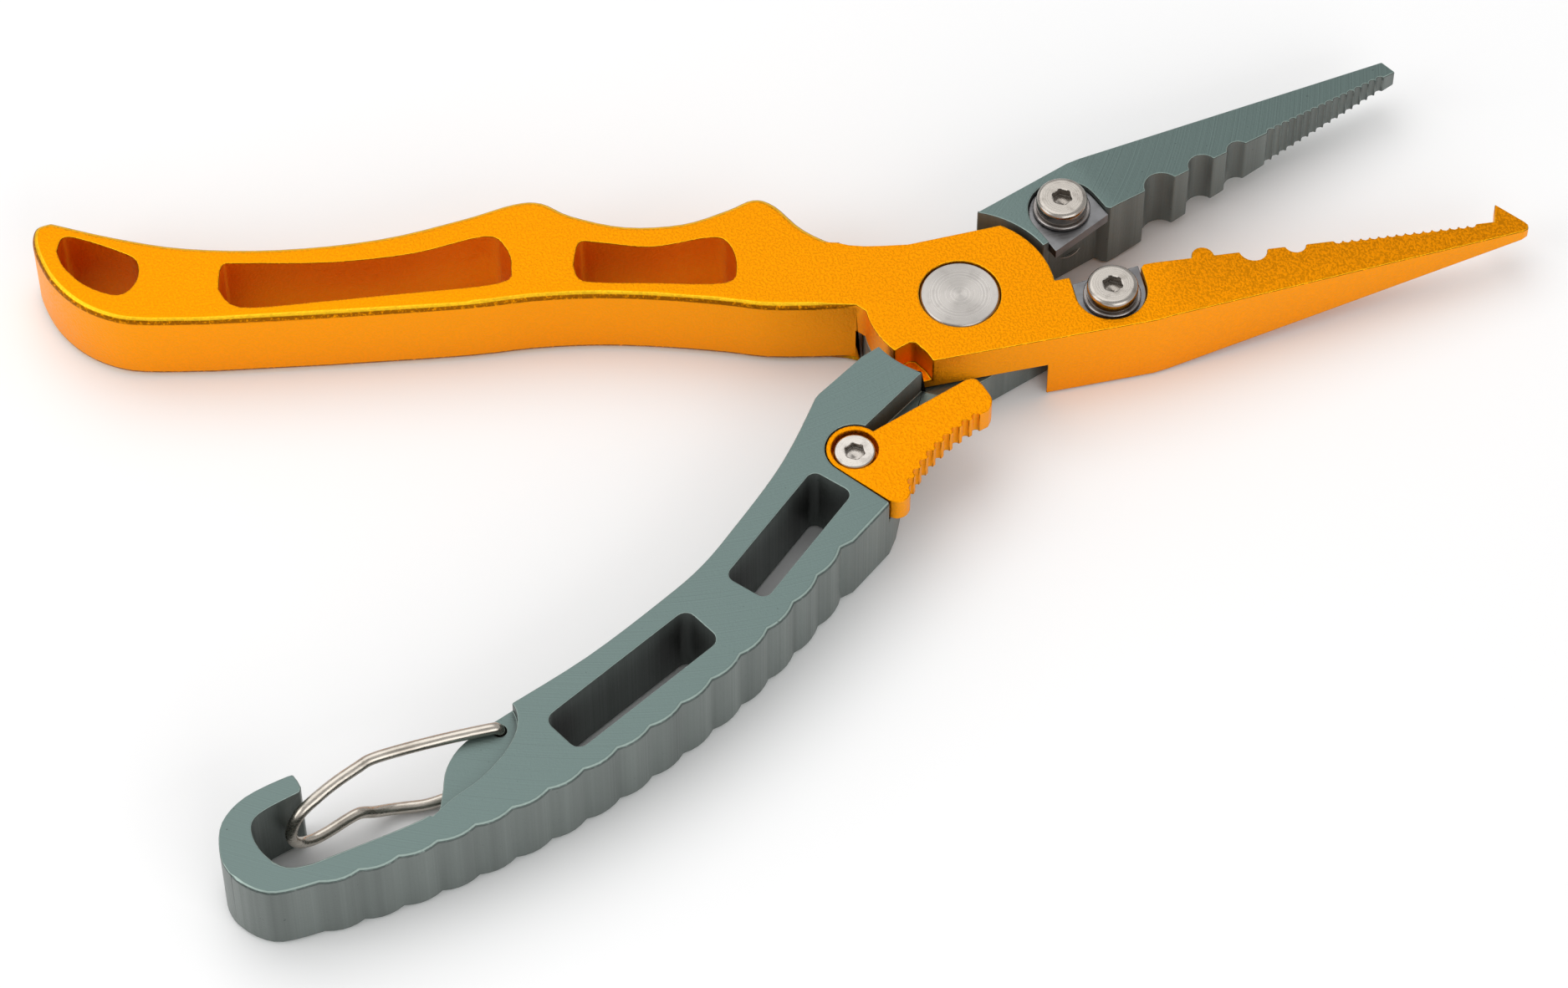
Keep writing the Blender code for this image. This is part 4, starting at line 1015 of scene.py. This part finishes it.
@dataclass
class Pivot:
    """Pivot post with a turned head, its screw, and what turns between the lap plates."""

    def build(self) -> list[Piece]:
        """Makes the pivot's pieces.

        Returns:
            The pieces of the pivot.
        """
        # the pivot head carries a painted sheen
        head = Steel("pivot_head_steel", (0.345, 0.325, 0.305), (0.20, 0.185, 0.17), Pattern.TURNED, 0.30,
                     (0.0, 0.0, 0.0), 5200.0, relief=0.30, sheen=0.35)
        made = [BrokenEdgePart("pivot_post", Body.FIXED, "brushed_steel", head, 0.09 * MM).build(),
                BrokenEdgePart("pivot_screw", Body.FIXED, "brushed_steel", head, 0.09 * MM).build()]
        made += keep_nodes({
            "pivot_thrust_washer": Steel("thrust_bronze", *BRONZE),
            "return_spring": Steel("return_spring_wire", *SPRING_WIRE, Pattern.DRAWN),
            "open_stop_pin": Steel("stop_pin_steel", (0.50, 0.48, 0.46), (0.15, 0.13, 0.11),
                                   Pattern.TURNED, 0.25, middle_of("open_stop_pin")),
        }, Body.FIXED)
        return made


@dataclass
class ThumbLock:
    """Serrated lever with its screw and the small parts that hold it at either end of its swing."""

    def build(self) -> list[Piece]:
        """Makes the lock's pieces.

        Returns:
            The pieces of the lock.
        """
        skin = BlastedAnodising("lever_orange", face=(0.79, 0.265, 0.001))
        centre = middle_of("lock_screw")
        made = [BrokenEdgePart("lock_lever", Body.LEVER, "orange_anodised", skin, 0.12 * MM).build(),
                SocketScrew("lock_screw", Body.MOVING, socket_depth=0.8 * MM, head_height=1.1 * MM,
                            shank_radius=1.4 * MM, dome=0.25 * MM, dome_segments=3,
                            colour=(0.46, 0.43, 0.395)).build()]
        made += keep_nodes({
            "lock_bush": Steel("bush_bronze", *BRONZE, centre=centre),
            "lock_spring_washer": Steel("spring_washer_steel", (0.46, 0.43, 0.40), (0.12, 0.10, 0.08),
                                        centre=centre),
            "lock_detent_ball": Steel("ball_steel", (0.62, 0.61, 0.60), (0.2, 0.18, 0.16), rough=0.12),
            "lock_detent_spring": Steel("detent_wire", *SPRING_WIRE, Pattern.DRAWN),
        }, Body.MOVING)
        return made


@dataclass
class WireGate:
    """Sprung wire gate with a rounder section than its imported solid."""

    growth: float = 0.055 * MM

    def build(self) -> list[Piece]:
        """Makes the gate.

        Returns:
            The gate alone.
        """
        wire = welded_copy("hook_gate", "hook_gate_fine")
        apply_modifier(wire, "SUBSURF", levels=1, render_levels=1)
        apply_modifier(wire, "DISPLACE", strength=self.growth, mid_level=0.0)
        settle(wire, 60)
        finish = Steel("gate_wire", (0.50, 0.46, 0.405), (0.20, 0.16, 0.12), Pattern.DRAWN, 0.24,
                       turn_deg=10.0, relief=0.08)
        dress(wire, finish.build())
        return [Piece(wire, Body.GATE, "spring_steel", ("hook_gate",))]


# ------------------------------------------------------------------ studio

@dataclass
class Studio:
    """Pale floor, soft lights and the camera."""

    camera_place: Colour = (-0.1030, -0.3699, 0.5196)
    camera_tilt_deg: float = 34.98
    camera_heading_deg: float = -12.67
    lens: float = 133.0
    sensor: float = 36.0
    floor_size: float = 6.0
    floor_gap: float = 0.2 * MM
    sky: float = 0.62

    def add_floor(self) -> None:
        """Lays a wide pale floor under the tool."""
        low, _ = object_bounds()
        deselect_all()
        bpy.ops.mesh.primitive_plane_add(size=self.floor_size, location=(0.0, 0.0, low[2] - self.floor_gap))
        floor = bpy.context.object
        floor.name = "studio_floor"
        settle(floor, 30)
        material, graph, shader = blank_material("studio_paper", 0.0, 0.9)
        place = graph.add("ShaderNodeTexCoord").outputs["Object"]
        cloud = graph.noise(place, 3.0, 2.0)
        graph.feed(shader.inputs["Base Color"],
                   graph.mix(cloud, opaque((0.90, 0.90, 0.90)), opaque((0.92, 0.92, 0.92))))
        dress(floor, material)
        floor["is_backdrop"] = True

    def add_light(self, name: str, place: Colour, size: float, power: float,
                  aim: Colour = (-0.02, 0.0, 0.0)) -> None:
        """Hangs a square soft light that looks at a point.

        Args:
            name: light name.
            place: position.
            size: side of the square.
            power: power in watts.
            aim: point looked at.
        """
        deselect_all()
        bpy.ops.object.light_add(type="AREA", location=place)
        lamp = bpy.context.object
        lamp.name = name
        lamp.data.size = size
        lamp.data.energy = power
        lamp.rotation_euler = (Vector(aim) - Vector(place)).to_track_quat("-Z", "Y").to_euler()

    def add_camera(self) -> None:
        """Sets up the camera."""
        deselect_all()
        bpy.ops.object.camera_add(location=self.camera_place,
                                  rotation=(math.radians(self.camera_tilt_deg), 0.0,
                                            math.radians(self.camera_heading_deg)))
        camera = bpy.context.object
        camera.name = "studio_camera"
        camera.data.lens = self.lens
        camera.data.sensor_width = self.sensor
        camera.data.clip_start = 0.01
        bpy.context.scene.camera = camera

    def add_sky(self) -> None:
        """Fills the studio with an even white light."""
        world = bpy.data.worlds.new("studio_white")
        world.use_nodes = True
        back = world.node_tree.nodes["Background"]
        back.inputs["Color"].default_value = (1.0, 1.0, 1.0, 1.0)
        back.inputs["Strength"].default_value = self.sky
        bpy.context.scene.world = world

    def build(self) -> None:
        """Sets up the whole studio."""
        self.add_floor()
        self.add_light("softbox_top", (-0.15, 0.35, 0.75), 0.8, 2.8)
        self.add_light("softbox_left", (-0.8, -0.1, 0.45), 0.6, 2.2)
        self.add_light("softbox_front", (0.25, -0.85, 0.30), 0.8, 3.6)
        self.add_camera()
        self.add_sky()
        bpy.context.scene.view_settings.view_transform = "Standard"


def main() -> None:
    """Builds every sub-assembly, logging each piece, then the studio."""
    logging.basicConfig(level=logging.INFO, format="%(message)s")
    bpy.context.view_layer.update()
    assemblies = (Arms(), Pivot(), CutterSet("lower", Body.FIXED, 8.0),
                  CutterSet("upper", Body.MOVING, 30.0), ThumbLock(), WireGate())
    for assembly in assemblies:
        for piece in assembly.build():
            piece.install()
    Studio().build()


if __name__ == "__main__":
    main()
